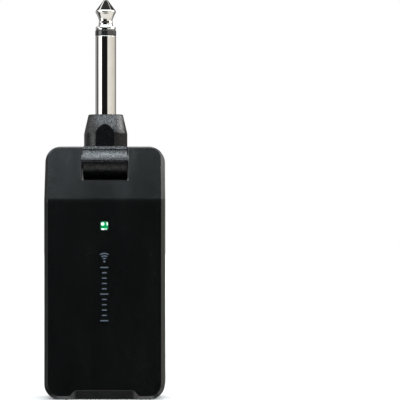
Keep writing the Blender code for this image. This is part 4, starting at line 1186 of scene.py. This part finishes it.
# Each ring of the studio: the elevations over which it takes over from the one below, in degrees,
# and its light at each azimuth, with 0 in front of the device and + to its right
RINGS = (
    (None, ((-180, 1.0), (-110, 1.0), (-80, 2.0), (110, 2.0), (140, 1.0), (180, 1.0))),
    ((-80, -70), ((-180, 0.5), (-110, 0.5), (-80, 0.1), (80, 0.1), (120, 0.5), (180, 0.5))),
    ((-54, -48), (
        (-180, 0.5), (-122, 0.4), (-112, 0.05), (-84, 0.05), (-76, (1.05, 1.04, 1.01)),
        (110, (1.02, 1.0, 0.94)), (130, 0.3), (180, 0.3),
    )),
    ((-29, -21), (
        (-180, 0.34), (-119, 0.42), (-110, 0.04), (-98, 0.04), (-88, 0.6), (-80, 0.7),
        (-72, 2.2), (-48, 2.2), (-40, 0.012), (19, 0.01), (27, (1.02, 1.0, 0.94)),
        (120, (0.74, 0.70, 0.62)), (130, 0.2), (180, 0.34),
    )),
    ((12, 20), (
        (-180, 0.06), (-125, 0.06), (-112, 1.4), (-80, 1.4), (-66, 0.03), (66, 0.03), (80, 8.0), (112, 8.0),
        (125, 0.06), (180, 0.06),
    )),
    ((28, 32), (
        (-180, 0.04), (-120, 0.04), (-113, 1.6), (-98, 1.6), (-86, 1.0), (-52, (5.7, 6.3, 6.7)),
        (66, (5.7, 6.3, 6.7)), (82, 1.6), (104, 1.6), (113, 0.04), (180, 0.04),
    )),
    ((48, 56), (
        (-180, 4.5), (-130, 4.5), (-118, 0.04), (-114, 0.04), (-110, 0.8), (-104, 0.8),
        (-100, 0.04), (98, 0.04), (102, 0.6), (107, 0.6), (111, 0.04), (118, 0.04), (130, 4.5), (180, 4.5),
    )),
    ((82, 88), ((-180, 2.0), (180, 2.0))),
)


class Sky(Nodes):
    """Short ways to build the world's light."""

    def blend(self, share, first, second):
        node = self.node("Mix")
        node.data_type = "RGBA"
        for name, value in (("A", first), ("B", second)):
            socket = next(s for s in node.inputs if s.name == name and s.type == "RGBA")
            self.link(value, socket)
        self.link(share, node.inputs["Factor"])
        return next(s for s in node.outputs if s.type == "RGBA")

    def ring(self, turn, stops):
        """The light of one ring as a colour, from its stops by azimuth."""
        ramp = self.node("ValToRGB")
        elements = ramp.color_ramp.elements
        while len(elements) < len(stops):
            elements.new(0.5)
        for element, (angle, light) in zip(elements, stops):
            colour = light if isinstance(light, tuple) else (light, light, light)
            element.position = angle / 360 + 0.5
            element.color = (*[part / PANEL_SCALE for part in colour], 1.0)
        self.link(turn, ramp.inputs["Fac"])
        scaled = self.node("VectorMath")
        scaled.operation = "SCALE"
        scaled.inputs["Scale"].default_value = PANEL_SCALE
        self.link(ramp.outputs["Color"], scaled.inputs["Vector"])
        return scaled.outputs["Vector"]


def studio_light():
    """Rings of light round the device for all but the camera, which sees a white backdrop."""
    world = bpy.data.worlds.new("studio")
    bpy.context.scene.world = world
    world.use_nodes = True
    tree = world.node_tree
    tree.nodes.clear()
    sky = Sky(tree)
    x, y, z = sky.split(sky.node("TexCoord").outputs["Generated"])
    azimuth = sky.maths("ARCTAN2", x, sky.maths("MULTIPLY", y, -1.0))
    turn = sky.maths("ADD", sky.maths("DIVIDE", azimuth, math.tau), 0.5)
    elevation = sky.maths("MULTIPLY", sky.maths("ARCSINE", z), 180 / math.pi)
    total = None
    for takes_over, stops in RINGS:
        ring = sky.ring(turn, stops)
        total = ring if total is None else sky.blend(sky.span(elevation, *takes_over), total, ring)
    light = sky.node("Background")
    sky.link(total, light.inputs["Color"])
    backdrop = sky.node("Background")
    backdrop.inputs["Color"].default_value = (1.0, 1.0, 1.0, 1.0)
    choose = sky.node("MixShader")
    sky.link(sky.node("LightPath").outputs["Is Camera Ray"], choose.inputs["Fac"])
    sky.link(light.outputs["Background"], choose.inputs[1])
    sky.link(backdrop.outputs["Background"], choose.inputs[2])
    sky.link(choose.outputs["Shader"], sky.node("OutputWorld").inputs["Surface"])


def camera():
    """A level view from a little to the device's right, through a long lens."""
    distance = 600 * MM
    to_right = 29.1 * MM
    height = 60.82 * MM
    data = bpy.data.cameras.new("camera")
    data.sensor_width = 36.0
    data.lens = 174.96
    made = bpy.data.objects.new("camera", data)
    made.location = (to_right, HINGE.y - distance, height)
    made.rotation_euler = (math.pi / 2, 0, 0)
    data.clip_start = 0.01
    data.clip_end = 20.0
    bpy.context.scene.collection.objects.link(made)
    bpy.context.scene.camera = made


def colour_handling():
    view = bpy.context.scene.view_settings
    view.view_transform = "Standard"
    view.look = "None"


def build():
    camera()
    studio_floor()
    studio_light()
    colour_handling()
    paint_frame()
    front_cover()
    rear_cover()
    led_window()
    printed_mark()
    power_slider()
    pair_button()
    usb_port()
    screws()
    plug_housing()
    knuckle_cap()
    plug_sleeve()
    insulator_ring()
    plug_tip()


build()
